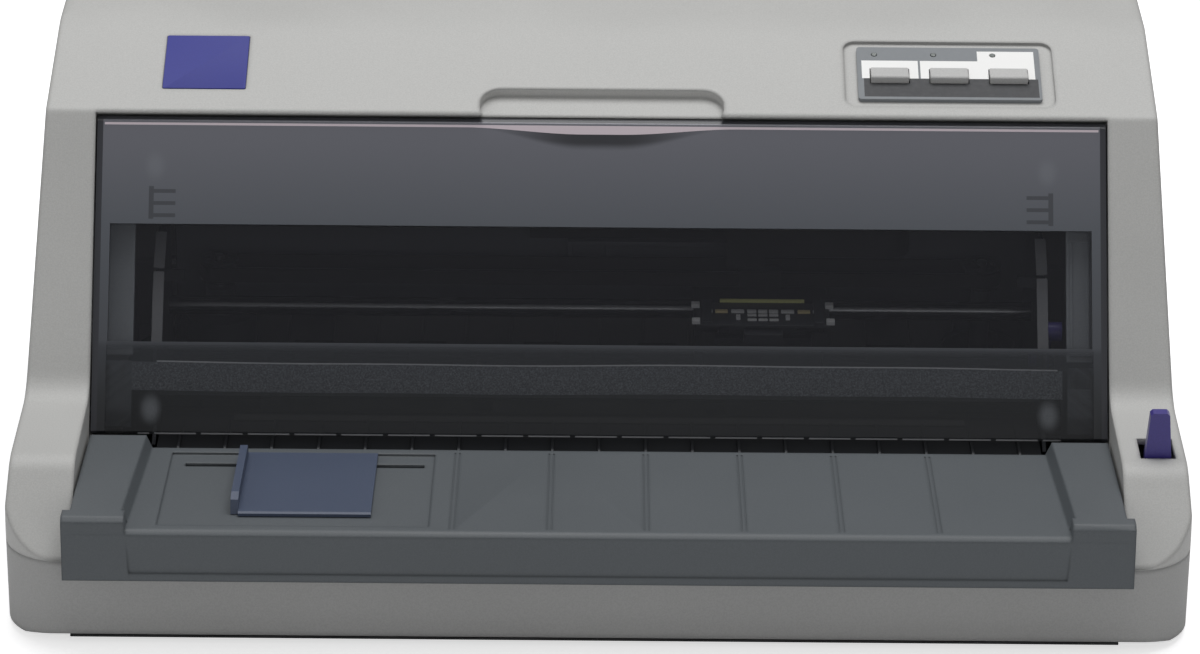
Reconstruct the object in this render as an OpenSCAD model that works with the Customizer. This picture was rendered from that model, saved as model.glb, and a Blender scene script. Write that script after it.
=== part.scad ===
// Flatbed dot matrix printer: cases, smoked cover, front tray and the mechanism inside.
// Origin: centre of the footprint, at the underside of the feet. +X right, +Y rear, +Z up.

/* [Case] */
// Width of the case at the parting line
case_w = 468; // [460:1:480]
// Depth from the front of the tray to the rear face
case_d = 303; // [300:1:312]
// Height of the crest above the table
case_h = 184; // [180:1:192]
// Wall thickness of the moulded shells
wall = 2.6; // [2:0.1:3]
// Height of the line where the lower and upper cases meet
parting_z = 37; // [35:1:38]
// Height of the rubber feet
foot_h = 3; // [2:0.5:4]
// How far the front face of the case lies behind the front of the tray
case_set_back = 11.5; // [10:0.5:13]
// Radius of the case corners seen from above
corner_r = 24; // [15:1:30]
// Radius of the upper side edges seen from the front
shoulder_r = 13; // [8:1:16]
// Inward lean of each side from the parting line to the crest
side_lean = 8; // [4:1:10]

/* [Side pods] */
// Height of the pods beside the tray
pod_z = 66; // [64:1:68]
// Setback of the pod's upper front edge from the case front
pod_rake = 33; // [28:1:38]

/* [Cover] */
// Width of the smoked cover
cover_w = 412; // [408:1:414]
// Lower front edge of the cover, in Y
cover_y0 = -57; // [-58:0.5:-56]
// Lower front edge of the cover, in Z
cover_z0 = 52.5; // [52:0.5:54]
// Length of the cover along its slope
cover_len = 131; // [128:1:133]
// Slope of the cover
cover_slope = 57; // [55:0.5:58]
// Thickness of the cover
cover_t = 2.6; // [2:0.1:3]
// Gap round the cover
cover_gap = 0.7; // [0.5:0.1:1]
// Width of the clear window
window_w = 400; // [390:1:404]
// Lower edge of the window, measured along the slope
window_s0 = 37.5; // [34:0.5:42]
// Upper edge of the window, measured along the slope
window_s1 = 86; // [80:0.5:92]
// How far the cheeks stand proud of the cover
cheek_proud = 1.6; // [1:0.1:3]
// Width of the finger scoop above the cover
scoop_w = 100; // [80:1:120]

/* [Front tray] */
// Half width of the tray between the pods
tray_hw = 205.5; // [204:0.5:206]
// Half width of the tray's front ears
ear_hw = 208.5; // [207:0.5:210]
// Height of the tray's front lip
lip_z = 55.5; // [55:0.5:57]
// Height of the tray's floor at the rear
tray_rear_z = 48.5; // [48:0.5:49.5]
// Rear end of the tray, in Y
tray_rear_y = -62; // [-63:0.5:-61]
// Bottom edge of the tray's front face
tray_bottom_z = 35; // [34:0.5:36]
// Thickness of the tray
tray_t = 2.8; // [2.4:0.1:3.2]
// Height of the side blocks above the tray floor
block_rise = 5.6; // [4:0.2:7]
// Distance between the pairs of grooves
groove_pitch = 37.9; // [34:0.1:40]
// Number of groove pairs
groove_n = 6; // [2:1:6]

/* [Edge guide] */
// Width of the edge guide plate
guide_w = 52; // [40:1:60]
// Length of the edge guide plate along the slope
guide_len = 66; // [60:1:70]

/* [Controls] */
// Width of the control panel plate
panel_w = 75.5; // [70:0.5:80]
// Height of the control panel plate along the slope
panel_h = 32.5; // [30:0.5:35]
// Centre of the control panel, in X
panel_x = 143; // [140:1:150]
// Distance between the keys
key_pitch = 24.5; // [23:0.5:26]
// Push travel of a key
key_travel = 0.8; // [0.6:0.1:1]
// Centre of the badge plate, in X
badge_x = -163.4; // [-170:1:-160]
// Width of the badge plate
badge_w = 34; // [28:1:36]
// Height of the badge plate along the slope
badge_h = 33; // [28:1:36]

/* [Mechanism] */
// Half distance between the side frames
frame_hw = 181; // [180:0.5:182]
// Thickness of the sheet metal frames
sheet = 1.5; // [1:0.1:2]
// Height of the paper path
path_z = 48; // [47.6:0.1:48.4]
// Diameter of the carriage guide shaft
rail_d = 8; // [6:0.5:9]
// Rest place of the carriage, in X
carriage_x = 67; // [50:1:80]
// Width of the carriage
carriage_w = 56; // [50:1:60]
// Diameter of the feed rollers
roller_d = 14; // [13:0.5:14.5]
// Module of the feed gears
gear_m = 1; // [0.95:0.05:1]
// Width of the feed gears
gear_w = 6; // [4:0.5:8]
// Running clearance of shafts in their bores, on the radius
run = 0.08; // [0.05:0.01:0.1]
// Gap between a moving piece and a fixed neighbour
gap = 0.4; // [0.3:0.05:0.6]

/* [Hidden] */
$fn = 32;

front_y = -case_d / 2 + case_set_back;
rear_y = case_d / 2;
hw = case_w / 2;
floor_z = foot_h + wall;
// Unit vectors up the cover and out of its face
sy = cos(cover_slope);
sz = sin(cover_slope);
// A point on the cover plane: s along the slope, n out of the face, as [y, z]
function cv(s, n = 0) = [cover_y0 + s * sy - n * sz, cover_z0 + s * sz + n * sy];
cover_hw = cover_w / 2;
well_hw = cover_hw + cover_gap;
crest_y = 88;
// Band above the cover: lower edge, length and slope of its straight stretch up to the crest
band_p = cv(cover_len + cover_gap + 1, cheek_proud);
band_len = 59.39461;
band_slope = asin((case_h - band_p[1]) / band_len);
// A point on the band: s up the slope from its lower edge, n out of its face
function bp(s, n = 0) = [band_p[0] + s * cos(band_slope) - n * sin(band_slope),
    band_p[1] + s * sin(band_slope) + n * cos(band_slope)];
function unit(v) = v / norm(v);
// Points of the arc of radius r that rounds corner p between its neighbours a and b
function fillet(a, p, b, r, n = 7) = let (
    u = unit(a - p),
    v = unit(b - p),
    half = acos(u * v) / 2,
    c = p + unit(u + v) * r / sin(half),
    p0 = p + u * r / tan(half),
    p1 = p + v * r / tan(half),
    a0 = atan2(p0[1] - c[1], p0[0] - c[0]),
    turn = (atan2(p1[1] - c[1], p1[0] - c[0]) - a0 + 540) % 360 - 180)
    [for (i = [0 : n]) c + r * [cos(a0 + turn * i / n), sin(a0 + turn * i / n)]];
// An outline whose corners, given as [y, z, radius], are rounded where the radius isn't 0
function rounded(q) = [for (i = [0 : len(q) - 1]) let (
    at = function (k) [q[(k + len(q)) % len(q)][0], q[(k + len(q)) % len(q)][1]])
    each (q[i][2] == 0 ? [at(i)] : fillet(at(i - 1), at(i), at(i + 1), q[i][2]))];
// An outline drawn clockwise, moved inwards by d on every side
function inset(p, d) = [for (i = [0 : len(p) - 1]) let (
    a = unit(p[i] - p[(i + len(p) - 1) % len(p)]),
    b = unit(p[(i + 1) % len(p)] - p[i]),
    na = [a[1], -a[0]],
    nb = [b[1], -b[0]]) p[i] + (na + nb) * d / (1 + na * nb)];

// An outline given in Y and Z, drawn out along X from x0 to x1
module along_x(x0, x1, pts) {
    translate([x0, 0, 0]) rotate([90, 0, 90]) linear_extrude(x1 - x0) polygon(pts);
}
// A box between two corners
module box(a, b) {
    translate(a) cube(b - a);
}
// A rectangle with round corners, centred on the origin
module round_rect(w, h, r) {
    square([w - 2 * r, h], center = true);
    square([w, h - 2 * r], center = true);
    for (x = [-1, 1], y = [-1, 1]) translate([x * (w / 2 - r), y * (h / 2 - r)]) circle(r);
}
// A cylinder along X from x0 to x1, its axis at y, z
module rod_x(x0, x1, y, z, r) {
    translate([x0, y, z]) rotate([0, 90, 0]) cylinder(r = r, h = x1 - x0);
}
// A plate on the band: x and s of its centre, its thickness from n0 to n1
module on_band(x, s, n0, n1) {
    translate([x, bp(s)[0], bp(s)[1]]) rotate([band_slope, 0, 0]) translate([0, 0, n0])
        linear_extrude(n1 - n0) children();
}

// Side outline of the upper case, clockwise seen from +X with the front at the left
rear_a = [rear_y - 4, 104];
rear_b = [crest_y + 21, case_h - 3.5];
rear_u = unit(rear_b - rear_a);
rear_len = norm(rear_b - rear_a);
// A point on the rear slope: s up it from its lower end, n out of its face
function rv(s, n = 0) = rear_a + s * rear_u + n * [rear_u[1], -rear_u[0]];
cheek_foot = cv((pod_z - cover_z0 - cheek_proud * sy) / sz, cheek_proud);
crest_front = bp(band_len);
crest_rear = rv((case_h - rear_a[1]) / rear_u[1]);
rear_corner = rv((rear_y - rear_a[0]) / rear_u[0]);
case_outline = rounded([[front_y, -40, 0], [front_y, parting_z, 5], [front_y + pod_rake, pod_z, 15],
    [cheek_foot[0], cheek_foot[1], 17], [band_p[0], band_p[1], 3.2], [crest_front[0], crest_front[1], 62],
    [crest_rear[0], crest_rear[1], 14], [rear_corner[0], rear_corner[1], 20], [rear_y, -40, 0]]);

// Front outline: leaning sides with round shoulders; e is the inset of an inner surface
module case_front(e) {
    intersection() {
        polygon([[-hw + e, -1], [-hw + e, parting_z], [-hw + side_lean + e, case_h - e],
            [hw - side_lean - e, case_h - e], [hw - e, parting_z], [hw - e, -1]]);
        translate([0, case_h / 2 - 10]) round_rect(case_w - 2 * e, case_h + 20 - 2 * e, shoulder_r);
    }
}
// Plan outline of the case
module case_plan(e) {
    translate([0, (front_y + rear_y) / 2]) round_rect(case_w - 2 * e, rear_y - front_y - 2 * e, corner_r - e);
}
// The solid inside the outline, e smaller all round
module case_block(side, e) {
    intersection() {
        along_x(-hw, hw, side);
        translate([0, rear_y + 1, 0]) rotate([90, 0, 0]) linear_extrude(case_d + 2) case_front(e);
        translate([0, 0, -1]) linear_extrude(case_h + 2) case_plan(e);
    }
}

// Posts in the lower case that carry the frame
module frame_posts(d) {
    for (x = [-1, 1], y = [-38, 55, 112]) translate([x * (frame_hw - 9), y, foot_h + 1])
        cylinder(d = d, h = bed_z - foot_h - 1);
}
// Lower case: an open tray that holds the boards and the mechanism
low_side = concat([[front_y, parting_z], [rear_y, parting_z], [rear_y, foot_h + 6]],
    [[rear_y - 2, foot_h + 2], [rear_y - 6, foot_h], [front_y + 6, foot_h], [front_y + 0.6, foot_h + 2]],
    [[front_y - 1.2, foot_h + 6]]);
module lower_case() {
    post_xy = [for (x = [-1, 1], y = [front_y + 30, rear_y - 30]) [x * (hw - 26), y]];
    color([0.56, 0.56, 0.56]) difference() {
        union() {
            difference() {
                case_block(low_side, 0);
                case_block(concat([[front_y + wall, parting_z + 1]],
                    [[rear_y - wall, parting_z + 1], [rear_y - wall, floor_z], [front_y + wall, floor_z]]), wall);
            }
            for (p = post_xy) translate([p[0], p[1], foot_h + 1]) cylinder(d = 9, h = parting_z - foot_h - 1 - gap);
            frame_posts(9);
        }
        for (p = post_xy) translate([p[0], p[1], -1]) cylinder(d = screw_d + 0.6, h = parting_z + 2);
        for (p = post_xy) translate([p[0], p[1], foot_h - 1]) cylinder(d = 7, h = 6);
        for (x = [-150, -130, -110, 60, 80, 100, 120]) box([x, 20, foot_h - 1], [x + 8, 22.4, floor_z + 1]);
        for (p = foot_xy) translate([p[0], p[1], foot_h - 1]) cylinder(d = 16, h = 2);
        box([-hw - 3, switch_y - 12, switch_z - 7.5], [-hw + 8, switch_y + 12, switch_z + 7.5]);
        box([inlet_x - 15, rear_y - wall - 2, inlet_z - 11.5], [inlet_x + 15, rear_y + 1, inlet_z + 11.5]);
        box([port_x - 34, rear_y - wall - 2, port_z - 8.5], [port_x + 34, rear_y + 1, port_z + 8.5]);
    }
}
screw_d = 3.4;
bed_z = 26;
foot_xy = [for (x = [-1, 1], y = [front_y + 26, rear_y - 24]) [x * (hw - 50), y]];
inlet_x = -170;
inlet_z = 21;
port_x = 90;
port_z = 20;

// Upper case: the housing over the mechanism, open for the cover, the tray and the rear sheet guide
notch_hw = well_hw;
notch_y = tray_rear_y + 4;
panel_s = 26.3;
badge_at = 30;
slot_x = 221.5;
slot_y = -90.8;
slot_len = 17.6;
sheet_hw = 158;
sheet_s0 = 5;
sheet_s1 = rear_len - 7;
module along_rear(x0, x1, s0, s1, n0, n1) {
    along_x(x0, x1, [rv(s0, n0), rv(s0, n1), rv(s1, n1), rv(s1, n0)]);
}
module along_cover(x0, x1, s0, s1, n0, n1) {
    along_x(x0, x1, [cv(s0, n0), cv(s0, n1), cv(s1, n1), cv(s1, n0)]);
}
module upper_case() {
    top_s = cover_len + cover_gap;
    color([0.72, 0.72, 0.72]) difference() {
        case_block(case_outline, 0);
        box([-hw - 1, -case_d, -60], [hw + 1, case_d, parting_z]);
        difference() {
            case_block(inset(case_outline, wall), wall);
            box([-notch_hw - wall, front_y - 1, -50], [notch_hw + wall, notch_y + wall, pod_z + 20]);
            for (x = [-1, 1]) along_cover(x * (well_hw + wall / 2) - wall / 2, x * (well_hw + wall / 2) + wall / 2,
                -4, top_s + wall, -14, 4);
            along_cover(-well_hw - wall, well_hw + wall, top_s, top_s + wall, -12, 4);
            on_band(0, 5, -9, 4) round_rect(scoop_w + 2 * wall, 28, 10);
            for (x = [-1, 1]) along_rear(x * (sheet_hw + gap + 1.5) - 1.5, x * (sheet_hw + gap + 1.5) + 1.5,
                sheet_s0 - 2, sheet_s0 + 14, -12, 1);
            for (x = [-1, 1], y = [front_y + 30, rear_y - 30]) translate([x * (hw - 26), y, parting_z])
                cylinder(d = 8, h = y < 0 ? 22 : 40);
        }
        box([-notch_hw, front_y - 20, -50], [notch_hw, notch_y, pod_z + 20]);
        box([-well_hw + 3, notch_y - 2, parting_z + 5], [well_hw - 3, notch_y + wall + 2, pod_z + 20]);
        along_cover(-well_hw, well_hw, -6, top_s, -18, 30);
        on_band(0, 5, -4, 10) round_rect(scoop_w, 20, 9);
        on_band(panel_x, panel_s, -1.2, 5) round_rect(panel_w + 11, panel_h + 8, 5);
        on_band(panel_x, panel_s, -9, 5) round_rect(panel_w - 8, panel_h - 6, 2);
        on_band(badge_x, badge_at, -0.8, 5) round_rect(badge_w + 0.6, badge_h + 0.6, 1);
        box([slot_x - 7, slot_y - slot_len / 2, pod_z - 9], [slot_x + 7, slot_y + slot_len / 2, pod_z + 4]);
        rod_x(well_hw - 1, well_hw + wall + 1, lever_pivot[0], lever_pivot[1], 2.5 + run);
        for (x = [-1, 1]) rod_x(x * (well_hw + wall / 2) - 3, x * (well_hw + wall / 2) + 3, hinge_p[0], hinge_p[1],
            hinge_r + run);
        along_rear(-sheet_hw - gap, sheet_hw + gap, sheet_s0 - gap, sheet_s1 + gap, -6, 6);
        for (x = [-1, 1], y = [front_y + 30, rear_y - 30]) translate([x * (hw - 26), y, parting_z - 1])
            cylinder(d = 2.8, h = 14);
        rod_x(-sheet_hw - 3, sheet_hw + 3, sheet_pin[0], sheet_pin[1], 1.2 + run);
        box([-150, rear_y - wall - 4, 72], [150, rear_y + 1, 88]);
        for (x = [-1, 1], i = [0 : 7]) box([x * hw - 8, 40 + i * 8, parting_z + 12], [x * hw + 8, 43 + i * 8, 70]);
    }
}

// Front tray: floor sloping down to the rear, side blocks, and a deep front face with ears
tray_slope = atan((lip_z - tray_rear_z) / (tray_rear_y + 146.6));
tray_lip_y = front_y - 6.6;
// Height of the tray floor at y
function tray_z(y) = lip_z - (y - tray_lip_y) * tan(tray_slope);
ear_y = front_y - 0.6;
module front_tray() {
    y1 = tray_rear_y;
    face_y = -case_d / 2;
    color([0.33, 0.345, 0.36]) difference() {
        union() {
            along_x(-tray_hw, tray_hw, [[ear_y, tray_bottom_z], [face_y + 1, tray_bottom_z],
                [tray_lip_y - 3, lip_z - 1.4], [tray_lip_y - 1.2, lip_z - 0.2], [tray_lip_y, lip_z],
                [y1, tray_z(y1)], [y1, tray_z(y1) - tray_t], [ear_y, tray_z(ear_y) - tray_t]]);
            intersection() {
                along_x(-ear_hw, ear_hw, [[ear_y, tray_bottom_z], [face_y, tray_bottom_z],
                    [tray_lip_y - 2.4, lip_z + block_rise - 2], [tray_lip_y, lip_z + block_rise - 0.4],
                    [ear_y, lip_z + block_rise - 0.8]]);
                union() for (x = [-1, 1]) translate([x * (ear_hw + block_edge) / 2, 0, 0])
                    rotate([90, 0, 0]) translate([0, 0, -ear_y]) linear_extrude(20)
                        polygon([[x * (ear_hw - block_edge) / 2, 0], [x * (ear_hw - block_edge) / 2, 90],
                            [-x * (ear_hw - block_edge) / 2 + x * 6, 90], [-x * (ear_hw - block_edge) / 2, 0]]);
            }
            for (x = [-1, 1]) tray_block(x);
            along_x(-ear_hw, ear_hw, [[ear_y, tray_bottom_z], [face_y, tray_bottom_z],
                [face_y + 0.4, tray_bottom_z + 3], [ear_y, tray_bottom_z + 3]]);
            for (x = [-1, 1]) box([x * 194 - 1.2, ear_y, parting_z + gap], [x * 194 + 1.2, y1, tray_z(y1) - 1]);
            for (x = [-120, -60, 0, 60, 120]) along_x(x - 1, x + 1, [[ear_y, parting_z + 3],
                [ear_y, tray_z(ear_y) - 1], [y1 - 4, tray_z(y1 - 4) - 1]]);
        }
        for (i = [0 : groove_n - 1], d = [-0.9, 0.9]) groove(groove_x0 + i * groove_pitch + d);
        tray_pocket();
        guide_track();
    }
}
block_edge = 180;
groove_x0 = -57;
// Side block x = -1 or 1, with its slanted inner wall
module tray_block(x) {
    y0 = ear_y;
    y1 = tray_rear_y;
    intersection() {
        along_x(-tray_hw, tray_hw, [[y0, parting_z + 2], [y0, lip_z + block_rise - 0.8],
            [y1, tray_z(y1) + block_rise], [y1, tray_z(y1) - tray_t]]);
        rotate([90, 0, 0]) translate([0, 0, -y1]) linear_extrude(y1 - y0)
            polygon([[x * block_edge, 30], [x * tray_hw, 30], [x * tray_hw, 90],
                [x * (block_edge + 9), tray_rear_z + 20], [x * block_edge, tray_rear_z - 1]]);
    }
}
// A fine groove along the tray floor
module groove(x) {
    along_x(x - 0.35, x + 0.35, [for (q = [[tray_lip_y + 2, 0.5], [tray_lip_y + 2, -0.4], [tray_rear_y - 3, -0.4],
        [tray_rear_y - 3, 0.5]]) [q[0], tray_z(q[0]) + q[1]]]);
}
// Shallow pocket in which the edge guide runs
pocket_x0 = -172;
pocket_x1 = -66;
module tray_pocket() {
    along_x(pocket_x0, pocket_x1, [for (q = [[tray_lip_y + 4, 1], [tray_lip_y + 4, -0.9], [tray_rear_y - 5, -0.9],
        [tray_rear_y - 5, 1]]) [q[0], tray_z(q[0]) + q[1]]]);
}
// Slot through the floor that guides the foot of the edge guide
track_y = -78;
module guide_track() {
    box([pocket_x0 + 6, track_y - 1.6, 30], [pocket_x1 - 4, track_y + 1.6, 70]);
}

// Edge guide: a plate with a raised fence on its left, guided by a foot in the track
guide_x0 = -141;
module edge_guide() {
    y0 = track_y - guide_len + 12;
    y1 = track_y + 10;
    n0 = -0.6;
    color([0.27, 0.31, 0.38]) {
        along_x(guide_x0, guide_x0 + guide_w, [for (q = [[y0, n0], [y0, n0 + 1.2], [y0 + 1, n0 + 1.8],
            [y1 - 1, n0 + 1.8], [y1, n0 + 1.2], [y1, n0]]) [q[0], tray_z(q[0]) + q[1]]]);
        along_x(guide_x0 - 3, guide_x0 + 0.01, [for (q = [[y0 + 2, n0], [y0 + 4, 5], [y0 + 9, 6.5],
            [y1 - 6, 6.5], [y1 - 1, n0]]) [q[0], tray_z(q[0]) + q[1]]]);
        box([guide_x0 + 10, track_y - 1.6 + gap / 2, tray_z(track_y) - 6], [guide_x0 + 40, track_y + 1.6 - gap / 2,
            tray_z(track_y) + n0 + 0.2]);
    }
}

// Smoked cover: a thin slab with a rolled upper edge and a window opening
hinge_s = 10;
hinge_n = -4.2;
hinge_r = 1.6;
hinge_p = cv(hinge_s, hinge_n);
module top_cover() {
    color([0.22, 0.22, 0.24, 0.9]) difference() {
        along_x(-cover_hw, cover_hw, [cv(0, -cover_t), cv(0, -0.8), cv(0.8, 0), cv(cover_len - 2.4, 0),
            cv(cover_len - 0.8, -0.7), cv(cover_len, -2), cv(cover_len, -6), cv(cover_len - cover_t, -6),
            cv(cover_len - cover_t, -cover_t)]);
        along_cover(-window_w / 2, window_w / 2, window_s0, window_s1, -20, 5);
    }
}
// Clear pane of the cover
module cover_window() {
    color([0.1, 0.1, 0.11, 0.6]) along_cover(-window_w / 2, window_w / 2, window_s0, window_s1, 0.2 - cover_t, -0.3);
}
// Hinge arms behind the lower corners of the cover, each with its pin
module cover_hinges() {
    color([0.16, 0.16, 0.18]) for (x = [-1, 1]) {
        along_x(x * (cover_hw - 9) - 7, x * (cover_hw - 9) + 7, [cv(3, -cover_t), cv(30, -cover_t), cv(30, -4.4),
            cv(16, -6), cv(3, -6)]);
        rod_x(x * (cover_hw - 0.5) - 3.4, x * (cover_hw - 0.5) + 3.4, hinge_p[0], hinge_p[1], hinge_r);
    }
}

// Release lever: a tapered blade standing out of the right pod, on a pin in the notch wall
lever_pivot = [slot_y - 5.2, 46];
lever_top = pod_z + 19;
module release_lever() {
    y = lever_pivot[0];
    color([0.26, 0.24, 0.47]) difference() {
        union() {
            translate([0, y + 2.2, 0]) rotate([90, 0, 0]) linear_extrude(4.4) polygon([[slot_x - 5.5, lever_pivot[1]],
                [slot_x - 5.2, pod_z], [slot_x - 3.8, lever_top - 1], [slot_x - 2.8, lever_top],
                [slot_x + 2.8, lever_top], [slot_x + 3.8, lever_top - 1], [slot_x + 5.2, pod_z],
                [slot_x + 5.5, lever_pivot[1]]]);
            rod_x(slot_x - 5.5, slot_x + 5.5, y, lever_pivot[1], 5);
            rod_x(well_hw + 0.4, slot_x, y, lever_pivot[1], 2.5);
        }
    }
}

// Control panel: plate with three key holes, the keys, their board and the lights
key_s = panel_s - 1.8;
key_size = [15.6, 8.4];
module panel_plate() {
    color([0.55, 0.55, 0.55]) difference() {
        on_band(panel_x, panel_s, -1.2, 0.4) round_rect(panel_w, panel_h, 1.5);
        for (i = [-1 : 1]) on_band(panel_x + i * key_pitch, key_s, -3, 3)
            square([key_size[0] + 2 * gap, key_size[1] + 2 * gap], center = true);
        for (i = [-1 : 1]) on_band(panel_x + light_x(i), light_s, -3, 3) circle(d = 2.6);
    }
}
light_s = panel_s + 11.6;
function light_x(i) = i * key_pitch - 6;
module panel_key(i) {
    color([0.62, 0.62, 0.62]) translate([panel_x + i * key_pitch, bp(key_s)[0], bp(key_s)[1]])
        rotate([band_slope, 0, 0]) {
            translate([-key_size[0] / 2, 0, 0]) rotate([90, 0, 90]) linear_extrude(key_size[0])
                polygon([[-key_size[1] / 2, -6], [key_size[1] / 2, -6], [key_size[1] / 2, 1.4],
                    [1, 2.2], [-key_size[1] / 2 + 1, 3.6], [-key_size[1] / 2, 3.2]]);
        }
}
module key_1() { panel_key(-1); }
module key_2() { panel_key(0); }
module key_3() { panel_key(1); }
board_n = -10;
module panel_board() {
    color([0.12, 0.35, 0.22]) {
        on_band(panel_x, panel_s, board_n, board_n + 1.6) square([panel_w + 4, panel_h], center = true);
        for (x = [-1, 1], y = [-1, 1]) on_band(panel_x + x * (panel_w / 2 - 1), panel_s + y * (panel_h / 2 - 1.2),
            board_n + 1.6, -wall) circle(d = 2.6);
        for (i = [-1 : 1]) on_band(panel_x + i * key_pitch, key_s, board_n + 1.6, -6 - key_travel - 0.2)
            square(6, center = true);
    }
}
module panel_lights() {
    color([0.2, 0.6, 0.25]) for (i = [-1 : 1]) on_band(panel_x + light_x(i), light_s, board_n + 1.6, 0.6)
        circle(d = 2);
}
// Plain square plate where a badge would sit
module badge_plate() {
    color([0.17, 0.19, 0.52]) on_band(badge_x, badge_at, -0.8, 0.3) round_rect(badge_w, badge_h, 0.8);
}

// Places of the mechanism's axes, as [y, z]
roller_z = path_z - roller_d / 2 - 0.2;
front_roller = [-14, roller_z];
rear_roller = [24, roller_z];
rail = [34, path_z + 20];
bed_top = bed_z + sheet;
inner_hw = frame_hw - gap;
axle_d = 6;
stud_d = 5;
pinch_d = 8;
pinch_z = path_z + 0.4 + pinch_d / 2;
pinch_x = [-120, -72, -24, 24, 72, 120];

// Front paper guide: a ribbed plate that carries the sheet from the tray to the front roller
guide_rib_pitch = 18.95;
module front_paper_guide() {
    y0 = tray_rear_y + gap;
    y1 = front_roller[0] - roller_d / 2 - 1;
    color([0.14, 0.145, 0.155]) {
        box([-inner_hw + 1, y0, path_z - 4.4], [inner_hw - 1, y1, path_z - 2.4]);
        for (i = [-9 : 9]) along_x(i * guide_rib_pitch - 0.6, i * guide_rib_pitch + 0.6, [[y0, path_z - 2.5],
            [y0 + 3, path_z - 0.6], [tear_y - gap, path_z - 0.6], [tear_y - gap, path_z - 2.5]]);
        for (x = [-1, 1]) box([x * (inner_hw - 6) - 4, y0 + 8, bed_top], [x * (inner_hw - 6) + 4, y1 - 4, path_z - 4.4]);
        box([-inner_hw + 1, y0, path_z - 9], [inner_hw - 1, y0 + 2, path_z - 4.4]);
    }
}
// Pressed rail across the front that the print head's slider runs along
front_rail_y = -24.5;
tear_y = front_rail_y - 7;
module front_rail() {
    color([0.3, 0.31, 0.33]) {
        box([-inner_hw - gap, front_rail_y, path_z + 6], [inner_hw + gap, front_rail_y + sheet, path_z + 18]);
        box([-inner_hw - gap, front_rail_y, path_z + 18 - sheet], [inner_hw + gap, front_rail_y + 5, path_z + 18]);
    }
}
// Serrated strip behind the front guide where fan-fold paper is torn off
module tear_bar() {
    y0 = tear_y;
    color([0.75, 0.76, 0.78]) along_x(-150, 150, [[y0, path_z - 2.4], [y0, path_z - 1.6], [y0 + 3, path_z - 0.6],
        [y0 + 3.6, path_z - 0.6], [y0 + 3.6, path_z - 2.4]]);
}
// Flat bar that the pins strike against
module platen() {
    color([0.18, 0.18, 0.19]) {
        box([-inner_hw + 1, -3, path_z - 6], [inner_hw - 1, 12, path_z - 0.4]);
        for (x = [-1, 1]) box([x * (inner_hw - 8) - 6, 0, bed_top], [x * (inner_hw - 8) + 6, 10, path_z - 6]);
    }
}
// Rear paper guide between the rear roller and the tractors
module rear_paper_guide() {
    y0 = rear_roller[0] + roller_d / 2 + 1;
    y1 = tractor_at[0] - 20;
    color([0.16, 0.165, 0.175]) difference() {
        union() {
            box([-inner_hw + 1, y0, path_z - 4.4], [inner_hw - 1, y1, path_z - 2.4]);
            for (i = [-8 : 8]) box([i * guide_rib_pitch - 0.6, y0 + 2, path_z - 2.5], [i * guide_rib_pitch + 0.6,
                y1 - 2, path_z - 0.6]);
            for (x = [-1, 1]) box([x * (inner_hw - 6) - 4, y0 + 6, bed_top], [x * (inner_hw - 6) + 4, y1 - 4,
                path_z - 4.4]);
        }
        for (x = [-1, 1]) translate([x * pulley_x, belt_y, bed_z]) cylinder(d = motor_d + 2 * gap, h = 40);
    }
}
// Sheet metal frame: a bed and two side plates bored for the shafts
module side_frames() {
    plate = [[-46, bed_z], [-46, path_z - 6], [-36, path_z - 2], [-33, path_z + 21], [-6, 102], [10, 112], [62, 112], [100, 82],
        [130, 68], [130, bed_z]];
    color([0.42, 0.43, 0.45]) difference() {
        union() {
            for (x = [-1, 1]) along_x(x * (frame_hw + sheet / 2) - sheet / 2, x * (frame_hw + sheet / 2) + sheet / 2,
                plate);
            box([-frame_hw - sheet, -46, bed_z], [frame_hw + sheet, 130, bed_top]);
            along_x(frame_hw, frame_hw + sheet, [[18, 9], [18, bed_z + 1], [66, bed_z + 1], [66, 9]]);
            for (a = studs) rod_x(frame_hw, gear_x + gear_w + 0.6, a[0], a[1], stud_d / 2);
            for (x = [-1, 1]) box([x * (frame_hw - 5) - 5, -4, 96], [x * (frame_hw - 5) + 5, -4 + sheet, 101]);
        }
        for (a = [front_roller, rear_roller, tractor_at]) rod_x(-hw, hw, a[0], a[1], axle_d / 2 + run);
        rod_x(-hw, hw, rod_at[0], rod_at[1], rod_d / 2 + 0.02);
        for (a = [front_roller, rear_roller]) rod_x(-hw, hw, a[0], pinch_z, 1.52);
        rod_x(-hw, hw, rail[0], rail[1], rail_d / 2 + 0.02);
        rod_x(0, hw, thick_at[0], thick_at[1], 3 + run);
        for (a = motor_posts) rod_x(0, hw, a[0], a[1], 1.6);
        for (x = [-1, 1], y = [-38, 55, 112]) translate([x * (frame_hw - 9), y, bed_z - 1]) cylinder(d = 3.4, h = 4);
        for (x = [-120 : 60 : 120], y = [60]) translate([x, y, bed_z - 1]) cylinder(d = 24, h = 4);
        along_x(frame_hw - 4, frame_hw + 4, [[76, 60], [76, 88], [96, 74], [96, 60]]);
        along_x(-frame_hw - 4, -frame_hw + 4, [[48, 44], [48, 100], [60, 100], [84, 82], [84, 44]]);
    }
}
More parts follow.
